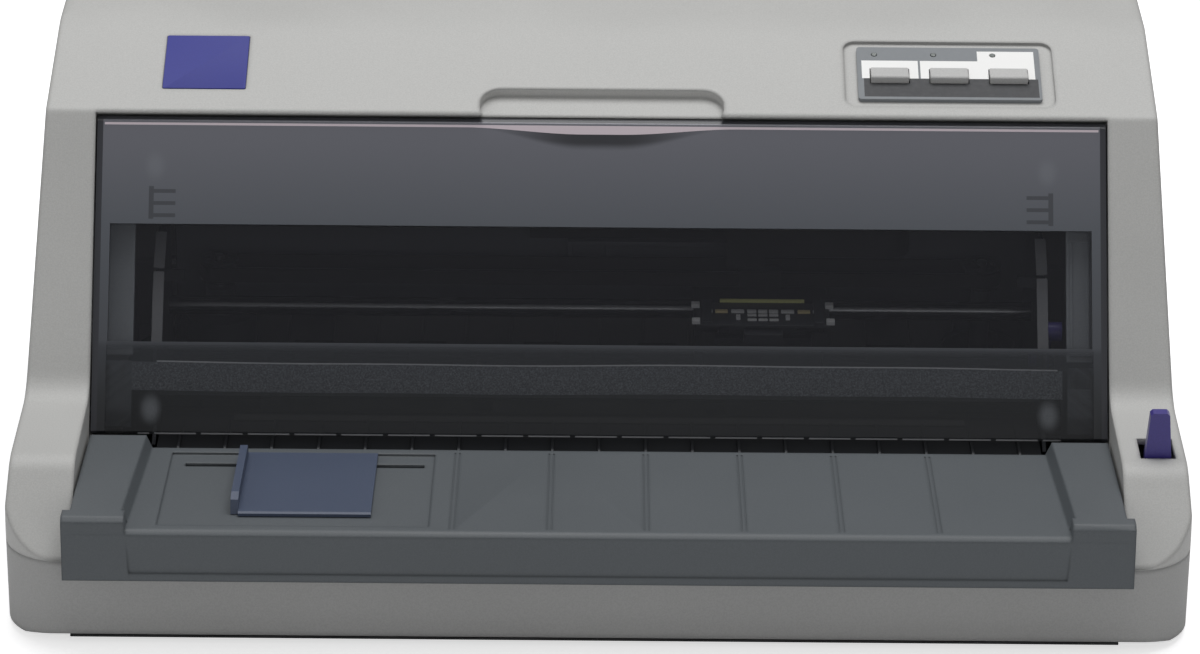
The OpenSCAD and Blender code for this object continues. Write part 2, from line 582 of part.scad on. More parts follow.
// Rear wall of the print chamber, with clips, a boss and a recess with a lighter pad
rear_wall_y = 68;
module rear_wall() {
    z0 = path_z + 6;
    z1 = 112;
    x0 = -frame_hw + gap;
    color([0.13, 0.13, 0.145]) difference() {
        union() {
            box([x0, rear_wall_y, z0], [-x0, rear_wall_y + 2.4, z1]);
            for (x = [-158, -22, 120]) box([x - 4, rear_wall_y - 5, z0 + 16], [x + 4, rear_wall_y + 0.1, z0 + 22]);
            translate([-158, rear_wall_y + 0.1, z1 - 14]) rotate([90, 0, 0]) cylinder(d = 7, h = 5);
            box([-14, rear_wall_y - 6, z0 + 14], [74, rear_wall_y, z0 + 16]);
            box([-14, rear_wall_y - 6, z0 + 30], [74, rear_wall_y, z0 + 32]);
            for (x = [-14, 2, 72]) box([x, rear_wall_y - 6, z0 + 14], [x + 2, rear_wall_y, z0 + 32]);
            box([x0, rear_wall_y, z1 - 2.4], [-x0, rear_wall_y + 22, z1]);
        }
        translate([-158, rear_wall_y + 4, z1 - 14]) rotate([90, 0, 0]) cylinder(d = 2.6, h = 20);
        box([4, rear_wall_y - 3, z0 + 19], [60, rear_wall_y + 1, z0 + 27]);
    }
}
// Bare raised plate on the rear wall
module label_plate() {
    color([0.2, 0.2, 0.22]) box([88, rear_wall_y - 0.6, 94], [156, rear_wall_y, 107]);
}
// Polished shaft that the carriage slides along
module guide_shaft() {
    color([0.8, 0.8, 0.82]) rod_x(-frame_hw - sheet - 2, frame_hw + sheet + 2, rail[0], rail[1], rail_d / 2);
}

// Carriage: slides on the shaft and on the front rail, and grips the belt
belt_y = 50;
belt_z = [rail[1] + 7, rail[1] + 13];
pulley_r = 7;
pulley_x = frame_hw - 20;
belt_t = 1.2;
motor_d = 30;
module carriage() {
    w = carriage_w / 2;
    strand_y = belt_y - pulley_r - belt_t;
    color([0.24, 0.24, 0.26]) translate([carriage_x, 0, 0]) difference() {
        union() {
            box([-w, 26, path_z + 11], [w, strand_y - gap, rail[1] + 7]);
            for (x = [-1, 1]) box([x * (w - 1.5) - 1.5, -14, path_z + 11], [x * (w - 1.5) + 1.5, 26.1, path_z + 30]);
            box([-w + 2, -13, path_z + 11], [w - 2, 26.1, path_z + 13]);
            for (x = [-1, 1]) {
                box([x * (w - 8) - 4, front_rail_y + 5 + gap, path_z + 11], [x * (w - 8) + 4, -12.9, path_z + 16]);
                box([x * (w - 5) - 3, -15.5, path_z + 24], [x * (w - 5) + 3, -13.9, path_z + 32]);
            }
            box([-9, strand_y - gap - 0.1, belt_z[0] - 2.4], [9, strand_y + 4, belt_z[0] - gap]);
            box([-9, strand_y - gap - 2, belt_z[0] - 2.4], [9, strand_y - gap, belt_z[1] + 2]);
            box([-9, strand_y - gap - 0.1, belt_z[1] + gap], [9, strand_y + 4, belt_z[1] + 2]);
        }
        rod_x(-w - 1, w + 1, rail[0], rail[1], rail_d / 2 + run);
        box([-17, -20, path_z], [17, 16, path_z + 14]);
    }
}
// Print head: pin guide nose, finned body and the edge of its circuit board
module print_head() {
    color([0.3, 0.3, 0.31]) translate([carriage_x, 0, 0]) {
        box([-8, -2, path_z + 1.4], [8, 9, path_z + 11]);
        box([-16.6, -12, path_z + 11], [16.6, 15.6, path_z + 13.1]);
        box([-14, -10, path_z + 13], [14, 15, path_z + 33]);
        for (i = [0 : 5]) box([-18, -8 + i * 4, path_z + 17], [18, -6.4 + i * 4, path_z + 30]);
        box([-18, -12, path_z + 33], [18, 8, path_z + 34.6]);
        box([-24, -13.8, path_z + 16.3], [24, -12, path_z + 29]);
        for (i = [-4 : 4]) box([i * 4 - 1, -14.4, path_z + 20], [i * 4 + 1, -13.7, path_z + 27]);
        box([-24, -12.1, path_z + 26], [24, -9.9, path_z + 29]);
    }
}
// Flat cable from the head to the rear wall, in one loop
cable_x = -30;
cable_z = [path_z + 40, path_z + 54];
module head_cable() {
    r = 9;
    x1 = carriage_x - 6;
    y1 = rear_wall_y - 6.6 - 2 * r;
    color([0.6, 0.6, 0.62]) {
        box([cable_x, rear_wall_y - 6.9, cable_z[0]], [x1 + 60, rear_wall_y - 6.5, cable_z[1]]);
        translate([x1 + 60, rear_wall_y - 6.7 - r, cable_z[0]]) difference() {
            cylinder(r = r + 0.2, h = cable_z[1] - cable_z[0]);
            translate([0, 0, -1]) cylinder(r = r - 0.2, h = 30);
            box([-20, -20, -1], [0, 20, 30]);
        }
        box([x1 - 8, y1 - 0.3, cable_z[0]], [x1 + 60, y1 + 0.1, cable_z[1]]);
        box([x1 - 8, y1 - 0.3, belt_z[1] + 2], [x1 + 8, y1 + 0.1, cable_z[1]]);
        box([cable_x, rear_wall_y - 6.9, cable_z[0]], [cable_x + 14, rear_wall_y, cable_z[0] + 0.4]);
    }
}
// Toothed belt round the two pulleys
module carriage_belt() {
    color([0.08, 0.08, 0.08]) translate([0, belt_y, belt_z[0]]) linear_extrude(belt_z[1] - belt_z[0]) difference() {
        belt_outline(pulley_r + belt_t);
        belt_outline(pulley_r + 0.05);
    }
}
module belt_outline(r) {
    square([2 * pulley_x, 2 * r], center = true);
    for (x = [-1, 1]) translate([x * pulley_x, 0]) circle(r);
}
module pulley(x) {
    translate([x, belt_y, 0]) difference() {
        union() {
            translate([0, 0, belt_z[0] - 1]) cylinder(r = pulley_r, h = belt_z[1] - belt_z[0] + 2);
            for (z = [belt_z[0] - 1.6, belt_z[1] + 0.4]) translate([0, 0, z]) cylinder(r = pulley_r + 1.2, h = 1.2);
        }
        translate([0, 0, belt_z[0] - 3]) cylinder(d = 4 + 2 * run, h = 20);
        for (a = [0 : 60 : 300]) rotate(a) translate([4.6, 0, belt_z[0] - 3]) cylinder(r = 1, h = 20);
    }
}
module drive_pulley() { color([0.75, 0.75, 0.72]) pulley(-pulley_x); }
module idler_pulley() {
    color([0.75, 0.75, 0.72]) pulley(pulley_x);
}
// Carriage motor below the drive pulley, with the fixed post and bracket of the idler
module carriage_motor() {
    color([0.5, 0.5, 0.52]) {
        translate([-pulley_x, belt_y, bed_top]) cylinder(d = motor_d, h = path_z + 10 - bed_top);
        translate([-pulley_x, belt_y, bed_top]) cylinder(d = 12, h = belt_z[0] - 5 - bed_top);
        translate([-pulley_x, belt_y, bed_top]) cylinder(d = 4, h = belt_z[1] + 3 - bed_top);
        translate([pulley_x, belt_y, bed_top]) cylinder(d = 8, h = belt_z[0] - 3 - bed_top);
        translate([pulley_x, belt_y, bed_top]) cylinder(d = 4, h = belt_z[1] + 3 - bed_top);
    }
}

// Feed rollers: a steel axle with rubber sleeves
module feed_roller(a, x1) {
    color([0.12, 0.12, 0.12]) {
        rod_x(-frame_hw - sheet - 3, x1, a[0], a[1], axle_d / 2);
        for (i = [-1 : 1]) rod_x(i * 96 - 44, i * 96 + 44, a[0], a[1], roller_d / 2);
    }
}
gear_x = frame_hw + sheet + 1.5;
module front_feed_roller() {
    feed_roller(front_roller, gear_x + gear_w);
    color([0.85, 0.84, 0.78]) gear(front_roller, big_n, axle_d / 2 - 0.01, phase_front);
}
module rear_feed_roller() {
    feed_roller(rear_roller, gear_x + gear_w);
    color([0.85, 0.84, 0.78]) gear(rear_roller, big_n, axle_d / 2 - 0.01, 0);
}
// Free pinch rollers above both feed rollers, on thin axles held by the frame
module pinch_rollers() {
    color([0.2, 0.2, 0.2]) for (a = [front_roller, rear_roller]) {
        rod_x(-frame_hw, frame_hw, a[0], pinch_z, 1.5);
        for (x = pinch_x) rod_x(x - 8, x + 8, a[0], pinch_z, pinch_d / 2);
    }
}

// Gear train outside the right side plate: n teeth, bore radius, turned by a degrees
big_n = 26;
idle_n = 12;
pin_n = 10;
trans_n = [22, 24, 22];
module gear(at, n, bore, a) {
    r = gear_m * n / 2;
    translate([gear_x, at[0], at[1]]) rotate([90, 0, 90]) rotate(a) linear_extrude(gear_w) difference() {
        polygon([for (i = [0 : n - 1], q = [[-0.36, -1.15], [-0.24, 0], [-0.11, 0.8], [0.11, 0.8], [0.24, 0],
            [0.36, -1.15]]) let (t = (i + q[0]) * 360 / n) (r + q[1] * gear_m) * [cos(t), sin(t)]]);
        circle(bore);
    }
}
// Axes along the train, each at the pitch distance from the one before it
train_dir = unit([93.6, 9]);
transfer_1_at = rear_roller + gear_m * (big_n + trans_n[0]) / 2 * train_dir;
transfer_2_at = transfer_1_at + gear_m * (trans_n[0] + trans_n[1]) / 2 * train_dir;
transfer_3_at = transfer_2_at + gear_m * (trans_n[1] + trans_n[2]) / 2 * train_dir;
tractor_at = transfer_3_at + gear_m * (trans_n[2] + big_n) / 2 * train_dir;
idler_drop = sqrt(max(0, pow(gear_m * (big_n + idle_n) / 2, 2) - pow((rear_roller[0] - front_roller[0]) / 2, 2)));
idler_at = [(front_roller[0] + rear_roller[0]) / 2, roller_z - idler_drop];
pinion_dir = unit([8, -16]);
pinion_at = rear_roller + gear_m * (big_n + pin_n) / 2 * pinion_dir;
studs = [idler_at, transfer_1_at, transfer_2_at, transfer_3_at];
motor_posts = [[24, 14], [60, 16]];
function angle(v) = atan2(v[1], v[0]);
// Turn of gear b that meshes with gear a, turned by pa, when b lies in direction d from a
function mesh(pa, na, nb, d) = d + 180 + 180 / nb + (d - pa) * na / nb;
to_idler = angle(idler_at - rear_roller);
phase_idler = mesh(0, big_n, idle_n, to_idler);
phase_front = mesh(phase_idler, idle_n, big_n, angle(front_roller - idler_at));
phase_t1 = mesh(0, big_n, trans_n[0], angle(train_dir));
phase_t2 = mesh(phase_t1, trans_n[0], trans_n[1], angle(train_dir));
phase_t3 = mesh(phase_t2, trans_n[1], trans_n[2], angle(train_dir));
phase_tractor = mesh(phase_t3, trans_n[2], big_n, angle(train_dir));
module idler_gear() { color([0.9, 0.9, 0.86]) gear(idler_at, idle_n, stud_d / 2 + run, phase_idler); }
module transfer_gear_1() { color([0.9, 0.9, 0.86]) gear(transfer_1_at, trans_n[0], stud_d / 2 + run, phase_t1); }
module transfer_gear_2() { color([0.9, 0.9, 0.86]) gear(transfer_2_at, trans_n[1], stud_d / 2 + run, phase_t2); }
module transfer_gear_3() { color([0.9, 0.9, 0.86]) gear(transfer_3_at, trans_n[2], stud_d / 2 + run, phase_t3); }
module tractor_gear() {
    color([0.85, 0.84, 0.78]) gear(tractor_at, big_n, axle_d / 2, phase_tractor);
}
module motor_pinion() {
    color([0.8, 0.7, 0.4]) gear(pinion_at, pin_n, 2, mesh(0, big_n, pin_n, angle(pinion_dir)));
    color([0.7, 0.7, 0.7]) rod_x(gear_x, gear_x + gear_w + 5, pinion_at[0], pinion_at[1], 2);
}
// Feed motor, on two posts from the right side plate
motor_x = gear_x + gear_w + 1;
motor_room = 12;
module feed_motor() {
    color([0.55, 0.55, 0.57]) difference() {
        union() {
            box([motor_x, 19, 9], [motor_x + 1.5, 65, 40]);
            rod_x(motor_x, hw - wall - motor_room, pinion_at[0], pinion_at[1], 15);
            for (a = motor_posts) rod_x(frame_hw + sheet, motor_x + 0.1, a[0], a[1], 3);
        }
        rod_x(motor_x - 1, motor_x + 7, pinion_at[0], pinion_at[1], 2 + run);
    }
}

// Tractors for fan-fold paper: a square shaft, a guide rod, two sliding units with sprockets and doors
tractor_x = 121;
square_w = 6;
rod_d = 5;
rod_at = [tractor_at[0] - 13, path_z - 4];
sprocket_r = 8.5;
unit_w = 20;
unit_top = tractor_at[1] + sprocket_r + 0.4;
module tractor_shaft() {
    color([0.78, 0.78, 0.8]) {
        for (x = [-1, 1]) rod_x(min(x * (inner_hw - 3), x * (gear_x + gear_w)), max(x * (inner_hw - 3),
            x * (gear_x + gear_w)), tractor_at[0], tractor_at[1], axle_d / 2);
        box([-inner_hw + 3, tractor_at[0] - square_w / 2, tractor_at[1] - square_w / 2],
            [inner_hw - 3, tractor_at[0] + square_w / 2, tractor_at[1] + square_w / 2]);
    }
}
module tractor_rod() {
    color([0.78, 0.78, 0.8]) rod_x(-frame_hw - sheet - 1, frame_hw + sheet + 1, rod_at[0], rod_at[1], rod_d / 2);
}
module sprocket(x) {
    translate([x, tractor_at[0], tractor_at[1]]) rotate([0, 90, 0]) difference() {
        union() {
            translate([0, 0, -3.5]) cylinder(r = sprocket_r, h = 7);
            for (a = [0 : 45 : 315]) rotate(a + 22.5) rotate([0, 90, 0]) {
                cylinder(r = 1.6, h = sprocket_r + 1);
                translate([0, 0, sprocket_r + 1]) cylinder(r1 = 1.6, r2 = 0.9, h = 0.8);
            }
        }
        cube([square_w + 0.5, square_w + 0.5, 20], center = true);
    }
}
module sprocket_left() {
    color([0.85, 0.85, 0.82]) sprocket(-tractor_x);
}
module sprocket_right() {
    color([0.85, 0.85, 0.82]) sprocket(tractor_x);
}
door_t = 2.2;
door_lift = 2.6;
function door_pin(x) = [x * (tractor_x + unit_w / 2 - 2), unit_top + door_lift - 0.6];
// Tractor unit on side x = -1 or 1: two cheeks round the sprocket, bored for the shaft and the rod
module tractor_unit(x) {
    y0 = tractor_at[0] - 18;
    y1 = tractor_at[0] + 18;
    color([0.17, 0.18, 0.2]) difference() {
        union() {
            box([x * tractor_x - unit_w / 2, y0, path_z - 10], [x * tractor_x + unit_w / 2, y1, unit_top]);
            for (y = [y0 + 4, y1 - 8]) box([door_pin(x)[0] - 2, y, unit_top - 1],
                [door_pin(x)[0] + 2, y + 4, door_pin(x)[1] + 2]);
        }
        rod_x(x * tractor_x - 4.2, x * tractor_x + 4.2, tractor_at[0], tractor_at[1], sprocket_r + 2.2);
        box([x * tractor_x - 4.2, tractor_at[0] - sprocket_r - 2.2, tractor_at[1]], [x * tractor_x + 4.2,
            tractor_at[0] + sprocket_r + 2.2, unit_top + 1]);
        rod_x(x * tractor_x - 20, x * tractor_x + 20, tractor_at[0], tractor_at[1], square_w * 0.707 + 0.5);
        rod_x(x * tractor_x - 20, x * tractor_x + 20, rod_at[0], rod_at[1], rod_d / 2 + run);
        translate([door_pin(x)[0], y0 - 1, door_pin(x)[1]]) rotate([-90, 0, 0]) cylinder(d = 2 + 2 * run, h = 50);
    }
}
module tractor_left() { tractor_unit(-1); }
module tractor_right() { tractor_unit(1); }
// Door over the pins, on a pin along Y at its outer edge
module tractor_door(x) {
    y0 = tractor_at[0] - 18;
    z0 = unit_top + 1.6;
    p = door_pin(x);
    far = x * tractor_x - x * unit_w / 2;
    near = p[0] + x * 1.2;
    color([0.2, 0.21, 0.24]) {
        difference() {
            union() {
                box([min(far, near), y0 + 9, z0], [max(far, near), y0 + 27, z0 + door_t]);
                box([min(far + x * 3, near), y0 + 1, z0], [max(far + x * 3, near), y0 + 35, z0 + door_t]);
            }
            box([x * tractor_x - 4.2, tractor_at[0] - 12, z0 - 1], [x * tractor_x + 4.2, tractor_at[0] + 12, z0 + 5]);
            for (y = [y0 + 4, y0 + 28]) box([p[0] - 3.4, y - 0.5, z0 - 1], [p[0] + 3.4, y + 4.5, z0 + 5]);
        }
        translate([p[0], y0 + 2, p[1]]) rotate([-90, 0, 0]) cylinder(d = 2, h = 32);
    }
}
module tractor_door_left() { tractor_door(-1); }
module tractor_door_right() { tractor_door(1); }

// Paper thickness lever on the right side plate
thick_at = [0, path_z + 14];
thick_x = frame_hw + sheet + 0.5;
knob_at = [-18, 83];
module thickness_lever() {
    d = unit(knob_at - thick_at);
    q = [-d[1], d[0]];
    color([0.3, 0.26, 0.55]) {
        rod_x(frame_hw - 3, thick_x + 3, thick_at[0], thick_at[1], 3);
        rod_x(thick_x, thick_x + 3, thick_at[0], thick_at[1], 5);
        along_x(thick_x, thick_x + 2.4, [thick_at - 3 * q, thick_at + 3 * q, knob_at + 2 * q, knob_at - 2 * q]);
        rod_x(thick_x, thick_x + 6, knob_at[0], knob_at[1], 4);
    }
}

// Rear sheet guide: a ribbed panel in the rear slope, hinged at its lower edge
sheet_pin = rv(sheet_s0 + 2.7, -1.3);
module rear_sheet_guide() {
    color([0.6, 0.6, 0.6]) {
        along_rear(-sheet_hw, sheet_hw, sheet_s0, sheet_s1, -2.6, 0);
        for (i = [-6 : 6]) along_x(i * 24 - 0.8, i * 24 + 0.8, [rv(sheet_s0 + 12, -2.7 + 0.2), rv(sheet_s1 - 4, -2.5),
            rv(sheet_s1 - 6, -5), rv(sheet_s0 + 14, -5)]);
        rod_x(-sheet_hw - 2.8, -sheet_hw + 4, sheet_pin[0], sheet_pin[1], 1.2);
        rod_x(sheet_hw - 4, sheet_hw + 2.8, sheet_pin[0], sheet_pin[1], 1.2);
    }
}

// Power switch: a rocker on a vertical pin in its housing, in the left wall
switch_y = -60;
switch_z = 21;
switch_pin_x = -hw + 5;
module power_switch() {
    color([0.1, 0.1, 0.1]) {
        box([-hw + 0.5, switch_y - 9, switch_z - 5], [-hw + 5, switch_y + 9, switch_z + 5]);
        translate([switch_pin_x, switch_y, switch_z - 6.2]) cylinder(d = 3, h = 12.4);
        translate([switch_pin_x, switch_y, switch_z - 5]) cylinder(d = 6, h = 10);
    }
}
module switch_housing() {
    color([0.13, 0.13, 0.13]) difference() {
        box([-hw + 0.3, switch_y - 12, switch_z - 7.5], [-hw + 18, switch_y + 12, switch_z + 7.5]);
        box([-hw - 1, switch_y - 9.6, switch_z - 5.4], [-hw + 10, switch_y + 9.6, switch_z + 5.4]);
        translate([switch_pin_x, switch_y, switch_z - 6.4]) cylinder(d = 3 + 2 * run, h = 12.8);
    }
}

// Mains inlet with three pins
module ac_inlet() {
    color([0.1, 0.1, 0.1]) {
        difference() {
            union() {
                box([inlet_x - 14.8, rear_y - 20, inlet_z - 11.3], [inlet_x + 14.8, rear_y - 0.4, inlet_z + 11.3]);
                box([inlet_x - 18, rear_y - wall - 2, inlet_z - 13], [inlet_x + 18, rear_y - wall - 0.2, inlet_z + 13]);
            }
            box([inlet_x - 12.4, rear_y - 17, inlet_z - 8.4], [inlet_x + 12.4, rear_y + 1, inlet_z + 8.4]);
        }
        for (p = [[-7, -1.6], [7, -1.6], [0, 2.4]]) box([inlet_x + p[0] - 1, rear_y - 17.1, inlet_z + p[1] - 2],
            [inlet_x + p[0] + 1, rear_y - 4, inlet_z + p[1] + 2]);
    }
}
// Interface connectors on the rear edge of the main board
pcb_z = floor_z + 6;
module connectors() {
    color([0.6, 0.6, 0.62]) for (c = [[port_x - 14, 38, 13], [port_x + 18, 16, 13]]) difference() {
        box([c[0] - c[1] / 2, rear_y - 20, pcb_z + 1.6], [c[0] + c[1] / 2, rear_y - 0.5, pcb_z + 1.6 + c[2]]);
        box([c[0] - c[1] / 2 + 1.4, rear_y - 10, pcb_z + 3], [c[0] + c[1] / 2 - 1.4, rear_y + 1, pcb_z + 0.2 + c[2]]);
    }
}
// Main board on standoffs, with its chips and capacitors
module main_board() {
    x0 = 20;
    x1 = 170;
    y0 = 20;
    y1 = rear_y - wall - 2;
    color([0.1, 0.33, 0.2]) {
        difference() {
            box([x0, y0, pcb_z], [x1, y1, pcb_z + 1.6]);
            for (x = [x0 + 8, x1 - 8], y = [y0 + 8, y1 - 30]) translate([x, y, pcb_z - 1]) cylinder(d = 3, h = 4);
            frame_posts(10);
        }
        for (x = [x0 + 8, x1 - 8], y = [y0 + 8, y1 - 30]) translate([x, y, floor_z]) difference() {
            cylinder(d = 6, h = pcb_z - floor_z);
            translate([0, 0, 1]) cylinder(d = 2.4, h = 20);
        }
        for (c = [[45, 60, 24], [85, 55, 14], [110, 80, 20], [60, 95, 12], [140, 50, 10]])
            box([c[0] - c[2] / 2, c[1] - c[2] / 2, pcb_z + 1.6], [c[0] + c[2] / 2, c[1] + c[2] / 2, pcb_z + 4.4]);
        for (x = [126, 138, 150]) translate([x, 96, pcb_z + 1.6]) cylinder(d = 8, h = 7);
    }
}
// Power supply board with its transformer, capacitor and heat sink
module power_supply() {
    x0 = -frame_hw - 21;
    x1 = -105;
    y0 = 24;
    y1 = rear_y - 36;
    color([0.55, 0.42, 0.22]) {
        difference() {
            box([x0, y0, pcb_z], [x1, y1, pcb_z + 1.6]);
            frame_posts(10);
        }
        for (x = [x0 + 8, x1 - 8], y = [y0 + 8, y1 - 8]) translate([x, y, floor_z])
            cylinder(d = 6, h = pcb_z - floor_z);
        box([-160, 60, pcb_z + 1.6], [-126, 96, pcb_z + 11]);
        box([-118, 50, pcb_z + 1.6], [-115, 110, pcb_z + 11]);
        translate([x0 + 10, 50, pcb_z + 1.6]) cylinder(d = 18, h = 22);
        translate([x0 + 10, 80, pcb_z + 1.6]) cylinder(d = 12, h = 16);
    }
}
// Rubber feet under the corners
module feet() {
    color([0.12, 0.12, 0.12]) for (p = foot_xy) translate([p[0], p[1], 0]) cylinder(d = 15.6, h = foot_h + 1);
}
// Screws that hold the two cases together from below
module case_screws() {
    color([0.7, 0.7, 0.72]) for (x = [-1, 1], y = [front_y + 30, rear_y - 30]) translate([x * (hw - 26), y, 0]) {
        translate([0, 0, foot_h + 3]) difference() {
            cylinder(d = 6.4, h = 2);
            translate([0, 0, -1]) cylinder(d = 3, h = 1.8);
        }
        translate([0, 0, foot_h + 4.9]) cylinder(d = 2.8, h = parting_z - foot_h + 6);
    }
}

lower_case();
upper_case();
front_tray();
edge_guide();
top_cover();
cover_window();
cover_hinges();
release_lever();
panel_plate();
panel_board();
key_1();
key_2();
key_3();
panel_lights();
badge_plate();
front_paper_guide();
front_rail();
tear_bar();
platen();
rear_paper_guide();
side_frames();
rear_wall();
label_plate();
guide_shaft();
carriage();
print_head();
head_cable();
carriage_belt();
drive_pulley();
idler_pulley();
carriage_motor();
front_feed_roller();
rear_feed_roller();
pinch_rollers();
idler_gear();
motor_pinion();
feed_motor();
transfer_gear_1();
transfer_gear_2();
transfer_gear_3();
tractor_shaft();
tractor_gear();
tractor_rod();
sprocket_left();
sprocket_right();
tractor_left();
tractor_right();
tractor_door_left();
tractor_door_right();
thickness_lever();
rear_sheet_guide();
power_switch();
switch_housing();
ac_inlet();
connectors();
main_board();
power_supply();
feet();
case_screws();
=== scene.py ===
import math

import bpy
import numpy as np
from mathutils import Matrix, Vector


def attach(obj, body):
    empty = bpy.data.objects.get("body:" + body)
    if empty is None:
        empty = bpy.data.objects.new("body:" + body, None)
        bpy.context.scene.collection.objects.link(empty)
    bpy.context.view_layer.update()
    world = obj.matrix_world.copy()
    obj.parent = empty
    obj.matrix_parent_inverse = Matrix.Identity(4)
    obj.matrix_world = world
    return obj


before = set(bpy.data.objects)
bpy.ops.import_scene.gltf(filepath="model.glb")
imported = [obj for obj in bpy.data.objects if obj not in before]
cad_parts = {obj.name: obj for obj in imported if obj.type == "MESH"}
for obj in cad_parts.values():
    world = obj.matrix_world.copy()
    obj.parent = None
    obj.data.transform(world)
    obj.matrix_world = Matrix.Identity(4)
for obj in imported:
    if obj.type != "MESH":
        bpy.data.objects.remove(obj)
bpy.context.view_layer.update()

# The camera stands in front and looks down 25 degrees through a long lens, as for a catalogue picture. The
# picture cuts the printer close, so the lens's length is worked out from focal_pixels across its width.
look_down = math.radians(25.0)
roll = math.radians(0.47)
picture_width = 1200
focal_pixels = 4850
stand_off = 2.038
aim_height = 0.068
lens = bpy.data.cameras.new("camera")
lens.sensor_width = 36.0
lens.lens = focal_pixels / picture_width * lens.sensor_width
lens.clip_end = 20.0
camera = bpy.data.objects.new("camera", lens)
bpy.context.scene.collection.objects.link(camera)
forward = Vector((0, math.cos(look_down), -math.sin(look_down)))
upward = Vector((0, math.sin(look_down), math.cos(look_down)))
turn = Matrix((Vector((1, 0, 0)), upward, -forward)).transposed() @ Matrix.Rotation(roll, 3, "Z")
camera.matrix_world = Matrix.Translation(upward * aim_height - forward * stand_off) @ turn.to_4x4()
bpy.context.scene.camera = camera
bpy.context.scene.view_settings.view_transform = "Standard"

# The floor is a plain sweep of white paper, and the printer's shadow falls on it. The camera sees it lit up
# a little beyond what the lamps give, and that extra light doesn't reach the printer.
floor_glow = 0.62


def linear(code):
    """Linear RGBA of an sRGB hex colour: each channel c becomes ((c + 0.055) / 1.055) ** 2.4."""
    channels = [int(code[i:i + 2], 16) / 255 for i in (1, 3, 5)]
    return [c / 12.92 if c < 0.04 else ((c + 0.055) / 1.055) ** 2.4 for c in channels] + [1.0]


def add(tree, kind, settings, inputs):
    """Adds a node of one kind with its settings. Each input is a value, or a socket that is linked to it."""
    node = tree.nodes.new("ShaderNode" + kind)
    for key, value in settings.items():
        setattr(node, key, value)
    for key, value in inputs.items():
        if isinstance(value, bpy.types.NodeSocket):
            tree.links.new(value, node.inputs[key])
        else:
            node.inputs[key].default_value = value
    return node


def start_material(name):
    """An empty material and its node tree."""
    material = bpy.data.materials.new(name)
    material.use_nodes = True
    material.node_tree.nodes.clear()
    return material, material.node_tree


def white_sweep():
    """Matt paper. Where a camera ray or a transmitted ray meets it, floor_glow is added to its light."""
    material, tree = start_material("white_sweep")
    ray = add(tree, "LightPath", {}, {})
    direct = add(tree, "Math", {"operation": "MAXIMUM"},
                 {0: ray.outputs["Is Camera Ray"], 1: ray.outputs["Is Transmission Ray"]})
    matt = add(tree, "BsdfDiffuse", {}, {"Color": linear("#e9e9ea")})
    glow = add(tree, "Emission", {}, {"Color": (1, 1, 1, 1), "Strength": floor_glow})
    lit = add(tree, "AddShader", {}, {0: matt.outputs[0], 1: glow.outputs[0]})
    seen = add(tree, "MixShader", {}, {0: direct.outputs[0], 1: matt.outputs[0], 2: lit.outputs[0]})
    add(tree, "OutputMaterial", {}, {"Surface": seen.outputs[0]})
    return material


bpy.ops.mesh.primitive_grid_add(x_subdivisions=2, y_subdivisions=2, size=12)
floor = bpy.context.object
floor.name = "studio_floor"
floor.data.materials.append(white_sweep())

# The studio's walls give an even low light, and the camera sees them plain white. A large softbox hangs
# above and a little behind, a weaker one stands at the left, and a low one fills in from the front.
wall_light = 0.27
world = bpy.data.worlds.new("studio")
world.use_nodes = True
world.node_tree.nodes.clear()
seen_by = add(world.node_tree, "LightPath", {}, {}).outputs["Is Camera Ray"]
level = add(world.node_tree, "MapRange", {}, {"Value": seen_by, "From Min": 0, "From Max": 1,
                                              "To Min": wall_light, "To Max": 1.0})
walls = add(world.node_tree, "Background", {}, {"Color": (1, 1, 1, 1), "Strength": level.outputs[0]})
add(world.node_tree, "OutputWorld", {}, {"Surface": walls.outputs[0]})
bpy.context.scene.world = world


def softbox(name, stand, aim, width, height, watts):
    """A rectangular lamp that stands at one point and faces another."""
    lamp = bpy.data.lights.new(name, "AREA")
    lamp.shape = "RECTANGLE"
    lamp.size = width
    lamp.size_y = height
    lamp.energy = watts
    holder = bpy.data.objects.new(name, lamp)
    holder.location = stand
    holder.rotation_euler = (Vector(aim) - Vector(stand)).to_track_quat("-Z", "Y").to_euler()
    bpy.context.scene.collection.objects.link(holder)


softbox("overhead_softbox", (0.1, 0.42, 1.9), (0, 0, 0.08), 1.8, 1.1, 27)
softbox("left_softbox", (-1.7, -0.9, 1.0), (0, 0, 0.1), 1.0, 1.2, 3)
softbox("front_fill", (0.5, -2.4, 0.9), (0, 0, 0.06), 1.4, 0.8, 5)

# The upper case is injection-moulded ABS, light grey, with the fine matt grain of a spark-eroded mould. The
# grain and its specks are drawn coarser than the real 0.1 mm, so that they show. Its corners look rounded.
noise_spread = {"From Min": 0.3, "From Max": 0.7}


